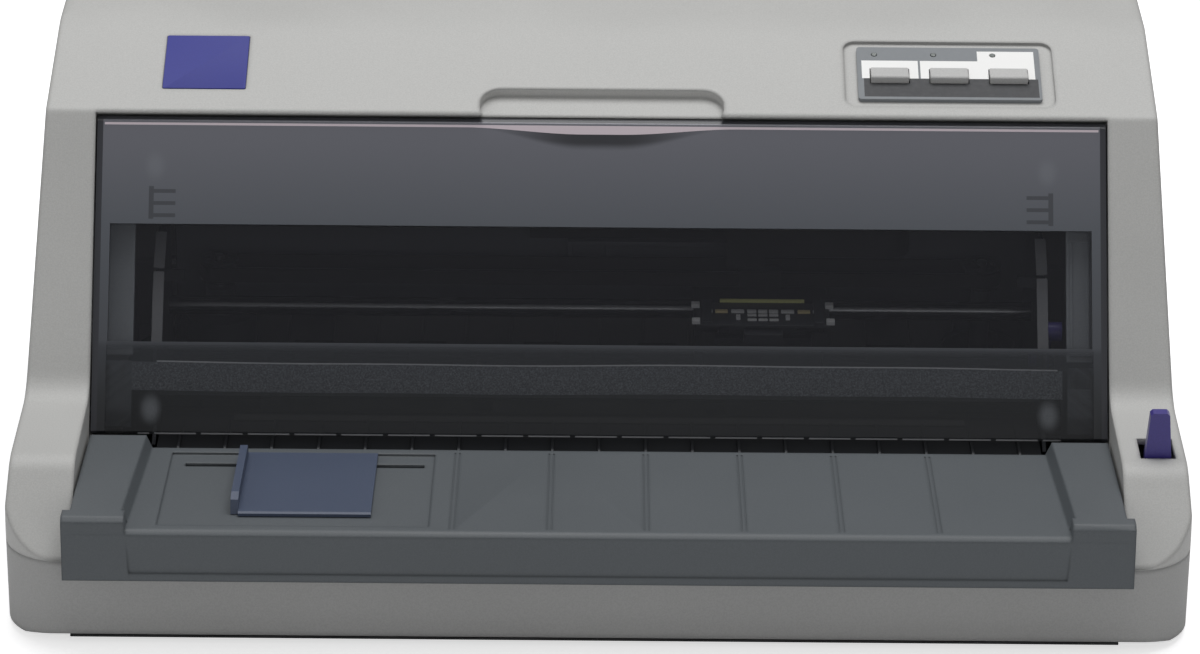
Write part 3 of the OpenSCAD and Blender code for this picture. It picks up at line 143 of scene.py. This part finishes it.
def moulded(name, colour, roughness, grain_mm=0.55, corner_mm=0.0):
    """Moulded plastic. Noise at 90 mm shifts the colour by 3% and the roughness by 0.05. Noise at the grain's
    size specks the colour by 5% and raises a grain of 0.05 mm. Normals are averaged within corner_mm."""
    clouds_per_metre, tint, wear, speck, relief = 11.0, 0.03, 0.05, 0.05, 0.00005
    material, tree = start_material(name)
    place = add(tree, "TexCoord", {}, {}).outputs["Object"]
    fine = add(tree, "TexNoise", {}, {"Vector": place, "Scale": 1000 / grain_mm, "Detail": 3.0})
    broad = add(tree, "TexNoise", {}, {"Vector": place, "Scale": clouds_per_metre, "Detail": 2.0})
    grain, cloud = fine.outputs["Fac"], broad.outputs["Fac"]
    base = linear(colour)[:3]
    flecks = add(tree, "ValToRGB", {}, {"Fac": grain})
    dark, pale = flecks.color_ramp.elements
    dark.position, pale.position = 0.38, 0.62
    dark.color = [c * (1 - speck) for c in base] + [1]
    pale.color = [min(1, c * (1 + speck)) for c in base] + [1]
    drift = add(tree, "MapRange", {}, {**noise_spread, "Value": cloud, "To Min": 1 - tint, "To Max": 1 + tint})
    shade = add(tree, "VectorMath", {"operation": "SCALE"},
                {0: flecks.outputs["Color"], "Scale": drift.outputs[0]})
    worn = add(tree, "MapRange", {}, {**noise_spread, "Value": cloud, "To Min": roughness - wear,
                                      "To Max": roughness + wear})
    bump = add(tree, "Bump", {}, {"Height": grain, "Strength": 0.35, "Distance": relief})
    if corner_mm:
        corner = add(tree, "Bevel", {"samples": 6}, {"Radius": corner_mm / 1000})
        tree.links.new(corner.outputs[0], bump.inputs["Normal"])
    shader = add(tree, "BsdfPrincipled", {}, {"Base Color": shade.outputs[0], "Roughness": worn.outputs[0],
                                              "IOR": 1.5, "Normal": bump.outputs[0]})
    add(tree, "OutputMaterial", {}, {"Surface": shader.outputs[0]})
    return material


def dress(material, names, edge_mm=0.0):
    """Gives CAD nodes a material and, where edge_mm is set, welds their meshes and rounds the edges."""
    for name in names:
        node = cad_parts[name]
        if not node.material_slots:
            node.data.materials.append(material)
        for material_slot in node.material_slots:
            material_slot.material = material
        if edge_mm:
            weld = node.modifiers.new("weld", "WELD")
            weld.merge_threshold = 1e-6
            bevel = node.modifiers.new("round_edges", "BEVEL")
            bevel.width = edge_mm / 1000
            bevel.segments = 2
            bevel.limit_method = "ANGLE"
            bevel.angle_limit = math.radians(35)


dress(moulded("housing_abs", "#b8b8b6", 0.52, corner_mm=3.0), ["upper_case"])

# The lower case is the same ABS a shade darker, and meets the upper one at a fine parting line. Its corners
# are rounder still.
dress(moulded("lower_case_abs", "#a4a4a3", 0.55, corner_mm=4.0), ["lower_case"])

# The rear sheet guide is a flap in the case's own ABS, hinged behind the cover. It folds back to let fanfold
# paper in.
dress(moulded("rear_guide_abs", "#b4b4b3", 0.52), ["rear_sheet_guide"], 0.4)

# The front tray is a dark slate ABS moulding with a coarser grain. Its lip and the tops of its two side
# blocks are rounded.
dress(moulded("tray_abs", "#565b5f", 0.5, grain_mm=0.6, corner_mm=1.8), ["front_tray"], 0.5)

# The edge guide is a separate slate-blue ABS moulding. It slides along the tray's slot, and a sheet's left
# edge lies against it.
dress(moulded("edge_guide_abs", "#454f64", 0.42), ["edge_guide"], 0.3)

# The cover is one smoked styrene moulding, etched matt but for the window. Its colour is painted fill light
# from above, paler up its upper part, and its rim is dark. A painted highlight runs along the lip under the
# top and swells at the finger hold, with painted shade below it, and another runs along its foot between the
# ribs. Hooks and hinge arms behind the sheet show in it as soft dark bars, and pale painted light spots stand
# in for blurred reflections.
# Its foot is y and z in metres. All else on it is in mm, to each side of its middle and up its slope.
cover_slope = math.radians(57)
cover_foot = (-0.057, 0.0525)
sheet_length = 131.0
painted_fill_tones = ((0.0, "#202226"), (0.12, "#272a2e"), (0.27, "#383b41"), (0.29, "#484b51"), (0.66, "#565a61"),
               (0.97, "#6b6c74"))
rim_side, rim_top = 203.6, 129.2
lip_low, lip_high, lip_side = 126.9, 127.9, 203.0
hold_flat, hold_end, hold_swell, hold_shade, shade_core = 8, 56, 2.6, 7.0, 0.45
foot_high, foot_side = 0.4, 187.0
rib_pitch, rib_shift, rib_gap = 18.95, 1.3, 8.4
hook_side, hook_tip, spine_width, hook_low, hook_high = 182.4, 173.5, 2.0, 88, 101.5
hook_bars, half_bar, hook_strength = (89.5, 94.5, 99.5), 0.8, 0.55
arm_lines, arm_low, arm_high, arm_strength = ((198.9, 200.6), (192.8, 194.1)), 1.5, 27.5, 0.8
light_spot_side, light_spot_squash, light_spot_core, light_spot_reach = 182.0, 0.7, 1.0, 5.5
light_spot_strengths = {10.0: 0.6, 110.0: 0.3}
clear_low, clear_high, clear_side, foot_cover = 34, 38, 200.4, 0.52


def slope_coordinates(tree, foot, slope):
    """The place, X in mm, and the mm up a slope from its foot: (y - y0) cos + (z - z0) sin."""
    place = add(tree, "TexCoord", {}, {}).outputs["Object"]
    across = add(tree, "VectorMath", {"operation": "DOT_PRODUCT"}, {0: place, 1: (1000, 0, 0)})
    uphill = (0, 1000 * math.cos(slope), 1000 * math.sin(slope))
    climb = add(tree, "VectorMath", {"operation": "DOT_PRODUCT"}, {0: place, 1: uphill})
    start = foot[0] * uphill[1] + foot[1] * uphill[2]
    up = add(tree, "Math", {"operation": "SUBTRACT"}, {0: climb.outputs["Value"], 1: start})
    return place, across.outputs["Value"], up.outputs[0]


def all_below(tree, *limits):
    """1 where each value is below its limit, and 0 elsewhere: the product of the comparisons."""
    inside = 1.0
    for value, limit in limits:
        below = add(tree, "Math", {"operation": "LESS_THAN"}, {0: value, 1: limit}).outputs[0]
        inside = add(tree, "Math", {"operation": "MULTIPLY"}, {0: below, 1: inside}).outputs[0]
    return inside


def patch(tree, across, up, x0, x1, s0, s1, strength=1.0):
    """The strength inside a rectangle on a slope, and 0 outside: it takes both |across - middle| and
    |up - middle| within half the rectangle's size."""
    inside = strength
    for value, low, high in ((across, x0, x1), (up, s0, s1)):
        near = add(tree, "Math", {"operation": "COMPARE"},
                   {0: value, 1: (low + high) / 2, 2: (high - low) / 2})
        inside = add(tree, "Math", {"operation": "MULTIPLY"}, {0: near.outputs[0], 1: inside}).outputs[0]
    return inside


def fade(tree, value, full, none, strength=1.0):
    """The strength where a value is at full, 0 where it is at none, and a smooth step between them."""
    step = add(tree, "MapRange", {"interpolation_type": "SMOOTHSTEP"},
               {"Value": value, "From Min": full, "From Max": none, "To Min": strength, "To Max": 0.0})
    return step.outputs[0]


def laid_over(tree, ground, share, layer):
    """A layer's colour over the ground's, by a share of 0 to 1. Both are RGBA lists or sockets."""
    return add(tree, "Mix", {"data_type": "RGBA"}, {"Factor": share, 6: ground, 7: layer}).outputs[2]


def sheet_tone(tree, across, sideways, up):
    """The sheet's colour: a ramp of painted fill light up the slope inside the rim, then the painted shade
    under the finger hold, the painted highlight along the lip, the painted highlights on the foot between the
    ribs, the bars of hooks and arms, and the painted light spots, each laid over the last."""
    # Painted fill light: a ramp from dark at the foot to pale at the top, standing in for light from above.
    height = add(tree, "Math", {"operation": "DIVIDE"}, {0: up, 1: sheet_length})
    filled = add(tree, "ValToRGB", {}, {"Fac": height.outputs[0]})
    stops = filled.color_ramp.elements
    stops[0].position, stops[1].position = painted_fill_tones[0][0], painted_fill_tones[-1][0]
    for position, code in painted_fill_tones[1:-1]:
        stops.new(position)
    for stop, (position, code) in zip(stops, painted_fill_tones):
        stop.color = linear(code)
    inside_rim = all_below(tree, (sideways, rim_side), (up, rim_top))
    tone = laid_over(tree, linear("#34353b"), inside_rim, filled.outputs["Color"])

    hold = fade(tree, sideways, hold_flat, hold_end)
    lip = add(tree, "Math", {"operation": "MULTIPLY_ADD"}, {0: hold, 1: -hold_swell, 2: lip_low}).outputs[0]
    over_lip = add(tree, "Math", {"operation": "SUBTRACT"}, {0: up, 1: lip}).outputs[0]
    under_lip = add(tree, "Math", {"operation": "SUBTRACT"}, {0: lip, 1: up}).outputs[0]
    reach = add(tree, "Math", {"operation": "MULTIPLY_ADD"}, {0: hold, 1: hold_shade, 2: 0.01}).outputs[0]
    far = add(tree, "Math", {"operation": "DIVIDE"}, {0: under_lip, 1: reach}).outputs[0]
    soft = fade(tree, far, shade_core, 1.0)
    cast = add(tree, "Math", {"operation": "MULTIPLY"}, {0: soft, 1: hold}).outputs[0]
    shade = add(tree, "Math", {"operation": "MULTIPLY"}, {0: cast, 1: all_below(tree, (over_lip, 0.0))})
    tone = laid_over(tree, tone, shade.outputs[0], linear("#333439"))
    # A pale painted highlight along the lip, in a band from the lip's edge up to lip_high.
    glint = all_below(tree, (under_lip, 0.0), (up, lip_high), (sideways, lip_side))
    tone = laid_over(tree, tone, glint, linear("#cdc1c8"))

    # Painted highlights along the foot of the sheet, broken at each rib of the paper guide.
    shifted = add(tree, "Math", {"operation": "ADD"}, {0: across, 1: rib_shift}).outputs[0]
    rib = add(tree, "Math", {"operation": "PINGPONG"}, {0: shifted, 1: rib_pitch / 2}).outputs[0]
    tone = laid_over(tree, tone, all_below(tree, (up, foot_high), (rib, rib_gap), (sideways, foot_side)),
                     linear("#b9babd"))

    marks = [(hook_side, hook_side + spine_width, hook_low, hook_high, hook_strength)]
    marks += [(hook_tip, hook_side, s - half_bar, s + half_bar, hook_strength) for s in hook_bars]
    marks += [(*line, arm_low, arm_high, arm_strength) for line in arm_lines]
    for mark in marks:
        tone = laid_over(tree, tone, patch(tree, sideways, up, *mark), linear("#26272b"))
    # Pale painted light spots, blurred reflections near both sides of the sheet.
    squashed = add(tree, "Math", {"operation": "MULTIPLY"}, {0: up, 1: light_spot_squash})
    spot_place = add(tree, "CombineXYZ", {}, {"X": sideways, "Y": squashed.outputs[0]}).outputs[0]
    for s, strength in light_spot_strengths.items():
        middle = (light_spot_side, s * light_spot_squash, 0)
        away = add(tree, "VectorMath", {"operation": "DISTANCE"}, {0: spot_place, 1: middle}).outputs["Value"]
        tone = laid_over(tree, tone, fade(tree, away, light_spot_core, light_spot_reach, strength), linear("#7d8187"))
    return tone


def frosted_styrene():
    """Etched smoked styrene: noise of 0.6 mm raises a grain of 0.04 mm. It is solid above clear_high and at
    its sides, and lets about half the light through below clear_low."""
    material, tree = start_material("frosted_styrene")
    place, across, up = slope_coordinates(tree, cover_foot, cover_slope)
    sideways = add(tree, "Math", {"operation": "ABSOLUTE"}, {0: across}).outputs[0]
    tone = sheet_tone(tree, across, sideways, up)
    grain = add(tree, "TexNoise", {}, {"Vector": place, "Scale": 1800.0, "Detail": 2.0})
    bump = add(tree, "Bump", {}, {"Height": grain.outputs["Fac"], "Strength": 0.3, "Distance": 0.00004})
    cloudy = add(tree, "MapRange", {}, {"Value": up, "From Min": clear_low, "From Max": clear_high,
                                        "To Min": foot_cover, "To Max": 1.0}).outputs[0]
    side = add(tree, "Math", {"operation": "GREATER_THAN"}, {0: sideways, 1: clear_side}).outputs[0]
    solid = add(tree, "Math", {"operation": "MAXIMUM"}, {0: cloudy, 1: side}).outputs[0]
    shader = add(tree, "BsdfPrincipled", {}, {"Base Color": tone, "Roughness": 0.3, "IOR": 1.57,
                                              "Normal": bump.outputs[0], "Alpha": solid})
    add(tree, "OutputMaterial", {}, {"Surface": shader.outputs[0]})
    return material


dress(frosted_styrene(), ["top_cover"])

# The window is the one part of the cover that is left glossy, and it is smoked through. Its gloss varies a
# little with the flow of the moulding.


def clear_styrene():
    """Smoked clear styrene. Noise of 33 mm moves the roughness between 0.04 and 0.08."""
    material, tree = start_material("clear_styrene")
    place = add(tree, "TexCoord", {}, {}).outputs["Object"]
    flow = add(tree, "TexNoise", {}, {"Vector": place, "Scale": 30.0, "Detail": 2.0})
    gloss = add(tree, "MapRange", {}, {**noise_spread, "Value": flow.outputs["Fac"], "To Min": 0.04,
                                       "To Max": 0.08})
    shader = add(tree, "BsdfPrincipled", {}, {"Base Color": linear("#2b2c32"), "Alpha": 0.32, "IOR": 1.57,
                                              "Roughness": gloss.outputs[0]})
    add(tree, "OutputMaterial", {}, {"Surface": shader.outputs[0]})
    return material


dress(clear_styrene(), ["cover_window"])

# Behind the window's two ends the case carries a ledge inside its well, in a pale slate ABS. The right one
# has a plain raised frame on it.
ledge_inner, ledge_outer, ledge_low, ledge_high = 190.2, 206.9, 33, 128
rim_x0, rim_x1, rim_s0, rim_s1 = 191.6, 199.6, 35.5, 83.4
rim_across, rim_along = 1.2, 1.1


def slope_place(foot, slope):
    """A function that turns x, s up a slope and n out of it, in mm, to a point in metres. The foot holds the y
    and z where the slope starts: y = foot y + s cos - n sin, and z = foot z + s sin + n cos."""
    def place(x, s, n):
        y = foot[0] + (s * math.cos(slope) - n * math.sin(slope)) / 1000
        z = foot[1] + (s * math.sin(slope) + n * math.cos(slope)) / 1000
        return np.stack(np.broadcast_arrays(x / 1000, y, z), -1)
    return place


def piece_of(name, points, faces, material, body):
    """A piece from arrays of corners in metres and of faces of four corners."""
    mesh = bpy.data.meshes.new(name)
    mesh.from_pydata(points.reshape(-1, 3).tolist(), [], faces.tolist())
    mesh.materials.append(material)
    piece = bpy.data.objects.new(name, mesh)
    bpy.context.scene.collection.objects.link(piece)
    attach(piece, body)
    return piece


def bars(name, rows, place, material, body):
    """A closed box with broken edges for each row (x0, x1, s0, s1, n0, n1) in mm. Its corners are every choice
    of one x, one s and one n, and place turns them to points."""
    edge = 0.00025
    rows = np.asarray(rows, float)
    corner = np.array([[i, j, k] for i in (0, 1) for j in (2, 3) for k in (4, 5)])
    corners = rows[:, corner]
    box = np.array([[0, 1, 3, 2], [4, 6, 7, 5], [0, 4, 5, 1], [2, 3, 7, 6], [0, 2, 6, 4], [1, 5, 7, 3]])
    faces = (box[None] + 8 * np.arange(len(rows))[:, None, None]).reshape(-1, 4)
    piece = piece_of(name, place(*np.moveaxis(corners, -1, 0)), faces, material, body)
    bevel = piece.modifiers.new("round_edges", "BEVEL")
    bevel.width = edge
    bevel.segments = 2


on_cover = slope_place(cover_foot, cover_slope)
ledge_depth, raised_depth = (-9.5, -7), (-7.1, -6.3)
ledges = [(-ledge_outer, -ledge_inner, ledge_low, ledge_high, *ledge_depth),
          (ledge_inner, ledge_outer, ledge_low, ledge_high, *ledge_depth)]
ledges += [(rim_x0, rim_x1, rim_s1 - rim_across, rim_s1, *raised_depth),
           (rim_x0, rim_x1, rim_s0, rim_s0 + rim_across, *raised_depth)]
ledges += [(x, x + rim_along, rim_s0 + rim_across, rim_s1 - rim_across, *raised_depth)
           for x in (rim_x0, rim_x1 - rim_along)]
bars("well_ledges", ledges, on_cover, moulded("ledge_abs", "#a5abb2", 0.5), "printer")

# Two hooks are moulded on the back of the cover, near its top, in dark styrene. Each is an upright with
# three short bars, and holds the cover shut.
cover_back = -2.55
hook_depth = -6.5
spine_outer = 184.2
hooks = []
for side in (-1, 1):
    spine = sorted((side * spine_outer, side * hook_side))
    hooks.append((*spine, hook_low, hook_high, hook_depth, cover_back))
    arm = sorted((side * hook_side, side * hook_tip))
    hooks += [(*arm, s - half_bar, s + half_bar, hook_depth, cover_back) for s in hook_bars]
bars("cover_hooks", hooks, on_cover, moulded("hook_styrene", "#18191c", 0.4), "cover")

# A strip of dark felt is glued across the back of the cover, above its foot. It was laid by hand, so its
# edges wave a little.


def wavy_strip(name, x0, x1, low, high, wave, depth, material):
    """A flat strip along the cover's back, from low to high up the slope, carried along X as a ring of four
    corners. Both edges rise and fall by wave times sin(x / 41) + 0.6 sin(x / 17.3)."""
    steps = 180
    x = np.linspace(x0, x1, steps)
    rise = wave * (np.sin(x / 41) + 0.6 * np.sin(x / 17.3))
    ring = [on_cover(x, low + rise, depth), on_cover(x, high + rise, depth),
            on_cover(x, high + rise, cover_back), on_cover(x, low + rise, cover_back)]
    start = np.arange(steps - 1)[:, None] * 4
    side = np.arange(4)[None]
    sides = np.stack([start + side, start + (side + 1) % 4, start + 4 + (side + 1) % 4, start + 4 + side], -1)
    last = 4 * (steps - 1)
    ends = [[3, 2, 1, 0], [last, last + 1, last + 2, last + 3]]
    faces = np.vstack([sides.reshape(-1, 4), ends])
    piece_of(name, np.stack(ring, 1), faces, material, "cover")


def felt():
    """Pressed felt: noise of 0.7 mm, a few fibres wide, sets its colour and raises its nap by 0.3 mm."""
    material, tree = start_material("cover_felt")
    place = add(tree, "TexCoord", {}, {}).outputs["Object"]
    fibre = add(tree, "TexNoise", {}, {"Vector": place, "Scale": 1500.0, "Detail": 4.0, "Roughness": 0.7})
    tone = add(tree, "ValToRGB", {}, {"Fac": fibre.outputs["Fac"]})
    dark, pale = tone.color_ramp.elements
    dark.position, pale.position = 0.42, 0.66
    dark.color, pale.color = linear("#474a50"), linear("#7f838a")
    bump = add(tree, "Bump", {}, {"Height": fibre.outputs["Fac"], "Strength": 0.6, "Distance": 0.0003})
    shader = add(tree, "BsdfPrincipled", {}, {"Base Color": tone.outputs["Color"], "Roughness": 0.9,
                                              "Normal": bump.outputs[0]})
    add(tree, "OutputMaterial", {}, {"Surface": shader.outputs[0]})
    return material


wavy_strip("cover_felt", -190, 188, 17.5, 29.2, 0.25, -3.4, felt())

# A narrow pale strip along the felt's upper edge is a painted highlight, where the light catches that edge.
# It waves with the felt.
wavy_strip("felt_edge_highlight", -180, 186, 29.1, 29.7, 0.3, -3.5, moulded("painted_edge_highlight", "#c4c6cb", 0.35))

# The cover turns on two arms of grey ABS, one at each end of its foot. They are plain mouldings, and show
# through the sheet as dark lines.
dress(moulded("hinge_abs", "#55595f", 0.45), ["cover_hinges"], 0.3)

# The rear wall of the print chamber is dark grey ABS with clips and a recess. A bare plate, where a label
# would be, stands proud of it.
dress(moulded("rear_wall_abs", "#5b5e65", 0.45), ["rear_wall"], 0.3)
dress(moulded("label_abs", "#8b8e95", 0.4), ["label_plate"], 0.2)

# Both paper guides are ribbed mouldings of charcoal ABS, and so are the two tractors and their flip doors.
dress(moulded("charcoal_abs", "#2b2d31", 0.5),
      ["front_paper_guide", "rear_paper_guide", "tractor_left", "tractor_right",
       "tractor_door_left", "tractor_door_right"], 0.25)

# The steel bar under the cover's foot, where a sheet is torn off, is folded from strip and painted black. The
# paint hides the metal's brushing, so it has a plastic's grain.
dress(moulded("painted_steel", "#2a2b2e", 0.5), ["tear_bar"])

# The platen, the rollers, the feet and the toothed belt are black rubber, ground matt. Its specks are
# coarser than those of the plastics.
dress(moulded("black_rubber", "#1b1b1c", 0.75, grain_mm=1.2),
      ["platen", "front_feed_roller", "rear_feed_roller", "pinch_rollers", "carriage_belt", "feet"])

# The mains inlet and the power switch with its housing are bought parts in black plastic.
dress(moulded("black_socket", "#19191a", 0.4), ["ac_inlet", "power_switch", "switch_housing"], 0.3)

# The feed train's gears and the tractors' sprockets are acetal in its natural cream. The motor's own pinion
# is turned brass.
dress(moulded("acetal", "#e4e1d4", 0.35),
      ["idler_gear", "transfer_gear_1", "transfer_gear_2", "transfer_gear_3", "tractor_gear",
       "sprocket_left", "sprocket_right"])


def metal(name, colour, roughness, brush):
    """Metal brushed along X. Noise of 0.6 mm, stretched brush times along X, darkens the colour by up to 15%
    and moves the roughness by 0.06."""
    lines_per_metre, darken, wear = 1600.0, 0.15, 0.06
    material, tree = start_material(name)
    place = add(tree, "TexCoord", {}, {}).outputs["Object"]
    stretched = add(tree, "Mapping", {}, {"Vector": place, "Scale": (1 / brush, 1, 1)}).outputs[0]
    noise = add(tree, "TexNoise", {}, {"Vector": stretched, "Scale": lines_per_metre, "Detail": 3.0})
    lines = noise.outputs["Fac"]
    tone = add(tree, "ValToRGB", {}, {"Fac": lines})
    dark, pale = tone.color_ramp.elements
    pale.color = linear(colour)
    dark.color = [c * (1 - darken) for c in linear(colour)[:3]] + [1]
    rough = add(tree, "MapRange", {}, {**noise_spread, "Value": lines, "To Min": roughness - wear,
                                       "To Max": roughness + wear})
    shader = add(tree, "BsdfPrincipled", {}, {"Base Color": tone.outputs["Color"], "Metallic": 1.0,
                                              "Roughness": rough.outputs[0]})
    add(tree, "OutputMaterial", {}, {"Surface": shader.outputs[0]})
    return material


dress(metal("turned_brass", "#c9a85a", 0.3, 2), ["motor_pinion"])

# Both motors and the front rail are zinc-plated steel, dull and faintly streaked.
dress(metal("zinc_plate", "#8d9095", 0.5, 6), ["front_rail", "carriage_motor", "feed_motor"])

# The side frames are pressed steel, left dark. Their front edges carry pale nylon flanges, seen behind both
# ends of the window: one up the steep edge and a short one over the top.
dress(metal("frame_steel", "#46484c", 0.55, 6), ["side_frames"])
frame_edge = slope_place((-0.033, 0.069), math.atan2(33, 27))
frame_top = slope_place((-0.0058, 0.1022), math.atan2(10, 16))
flange_nylon = moulded("flange_nylon", "#9a9ca1", 0.45)
flange_widths = [sorted((side * 178.8, side * 183.3)) for side in (-1, 1)]
flange_depth = (0.3, 1.3)
bars("frame_flanges", [(*x, 11.5, 41.8, *flange_depth) for x in flange_widths], frame_edge, flange_nylon,
     "printer")
bars("frame_top_flanges", [(*x, 0.2, 18, *flange_depth) for x in flange_widths], frame_top, flange_nylon,
     "printer")

# The carriage slides on a round steel shaft, drawn bright and a little oily. The tractors' shaft and rod,
# the screws and the connectors' shells are brighter ground steel.
dress(metal("guide_steel", "#85878b", 0.24, 40), ["guide_shaft"])
dress(metal("ground_steel", "#d6d7da", 0.16, 3), ["tractor_shaft", "tractor_rod", "case_screws", "connectors"])

# The carriage and both belt pulleys are black ABS mouldings with softened edges. The carriage rides on the
# guide shaft and the front rail.
dress(moulded("black_abs", "#2a2b2e", 0.45), ["carriage", "idler_pulley", "drive_pulley"], 0.3)

# The print head is a dark die casting, screwed to the carriage. A flat cable in black film joins it to the
# main board.
dress(metal("head_casting", "#54565b", 0.5, 1), ["print_head"], 0.2)
dress(moulded("cable_film", "#222326", 0.45), ["head_cable"])

# The circuit boards inside the case are glass-fibre laminate under a green solder mask, and stand on posts.
# Their parts are moulded into the same mesh, so they share its green.
dress(moulded("solder_mask", "#1e4a2c", 0.35), ["main_board", "power_supply", "panel_board"])

# On top of the print head a black carrier holds its small circuit board, whose bare edge shows olive. Four
# pale nylon clips and two stops hold it, and tinned and gilt contacts stand on it in a row. All of it is
# placed from the head's middle.
head_x = 67
flat_place = slope_place((0, 0), 0)


def head_bars(name, rows, material):
    """Bars that ride on the carriage, with x in mm from the middle of the head, y and z."""
    bars(name, np.add(rows, (head_x, head_x, 0, 0, 0, 0)), flat_place, material, "carriage")


deck_half, deck_front, deck_back = 27.5, -15.5, 6.5
deck = [(-deck_half, deck_half, deck_front, deck_back, 82.5, 83.8), (-8, 8, -18.5, -13.5, 76.5, 81.0)]
deck += [(x - 2, x + 2, deck_front, deck_back, 83.7, 85.2) for x in (-23, 23)]
head_bars("head_carrier", deck, moulded("carrier_black", "#3a3c42", 0.4))
head_bars("head_board", [(-17.5, 17.5, 6.2, 7.6, 82.6, 85.0)], moulded("board_edge", "#e9ec9c", 0.5))
clip_x, clip_half, stop_x, stop_half = 27.6, 1.7, 10.2, 0.9
clips = [(x - clip_half, x + clip_half, y - clip_half, y + clip_half, 83.6, 85.4) for x in (-clip_x, clip_x)
         for y in (2.2, -13.6)]
clips += [(x - stop_half, x + stop_half, -11, -7.4, 83.7, 84.9) for x in (-stop_x, stop_x)]
head_bars("head_clips", clips, moulded("clip_nylon", "#f1f3f7", 0.4))
contact_row = (-4.4, -2.2, 83.7, 84.7)
pad_rows, pad_half, pad_heights = (-6.6, -11.2), 0.8, (83.7, 84.5)
tinned = [(-23.5, -20.7), (-13, -7.6), (-6.4, -2.6), (-1.9, 1.9), (2.6, 6.4), (7.6, 13), (20.7, 23.5)]
gilt = [(-19.6, -14.4), (14.4, 19.6)]
tin_rows = [(*x, *contact_row) for x in tinned]
tin_rows += [(*x, y - pad_half, y + pad_half, *pad_heights) for x in tinned[2:5] for y in pad_rows]
head_bars("tin_contacts", tin_rows, moulded("tinned_copper", "#f3f5f8", 0.3))
head_bars("gold_contacts", [(*x, *contact_row) for x in gilt], moulded("gold_plate", "#f4e2ac", 0.3))

# A thin dark strip along the front of the underside, between the feet, is painted shadow: it stands in for
# the shade where the case meets the floor, and from in front shows as a thin dark line on the floor.
bars("contact_shadow_strip", [(-208.0, 205.5, -136.9, -133.5, 2.2, 3.2)], flat_place, moulded("painted_contact_shadow", "#1d1e20", 0.5),
     "printer")

# The release lever and the thickness lever are moulded in violet acetal. They are glossy, and their edges are
# rounded for the finger.
dress(moulded("violet_plastic", "#443c86", 0.3), ["release_lever", "thickness_lever"], 0.6)

# The control panel is a printed plate: a blue-grey ground, three white fields over the keys and a dark band
# under them, all bare. The print is satin, and mottled as finely as paper.
panel_foot = (0.0388, 0.17323)
panel_slope = math.radians(19)
field_low, field_high, field_top = -3.3, 7.8, 14.0
white_fields = [(107.1, 130.4, field_low, field_high), (131.3, 155.1, field_low, field_high),
                (155.1, 178.5, field_low, field_top)]
dark_band = (107.8, 179.6, -14.7, field_low)


def printed_panel():
    """Inks laid over the ground, one rectangle each. Noise of 1.7 mm moves the roughness between 0.58 and
    0.68."""
    material, tree = start_material("printed_panel")
    place, across, up = slope_coordinates(tree, panel_foot, panel_slope)
    tone = linear("#808488")
    for field in white_fields:
        tone = laid_over(tree, tone, patch(tree, across, up, *field), linear("#f4f4f3"))
    tone = laid_over(tree, tone, patch(tree, across, up, *dark_band), linear("#3f4043"))
    mottle = add(tree, "TexNoise", {}, {"Vector": place, "Scale": 600.0, "Detail": 2.0})
    gloss = add(tree, "MapRange", {}, {**noise_spread, "Value": mottle.outputs["Fac"], "To Min": 0.58,
                                       "To Max": 0.68})
    shader = add(tree, "BsdfPrincipled", {}, {"Base Color": tone, "Roughness": gloss.outputs[0], "IOR": 1.5})
    add(tree, "OutputMaterial", {}, {"Surface": shader.outputs[0]})
    return material


dress(printed_panel(), ["panel_plate"])

# The three keys are grey ABS wedges, and the small status lights above them have smooth grey lenses.
dress(moulded("key_plastic", "#bdbdbc", 0.55), ["key_1", "key_2", "key_3"], 0.5)
dress(moulded("light_lens", "#6f7573", 0.2), ["panel_lights"])

# The badge is a plain blue plate of ABS with a satin face. It is glued to the front of the upper case, and its
# edges are broken.
dress(moulded("badge_blue", "#262c8a", 0.6), ["badge_plate"], 0.3)
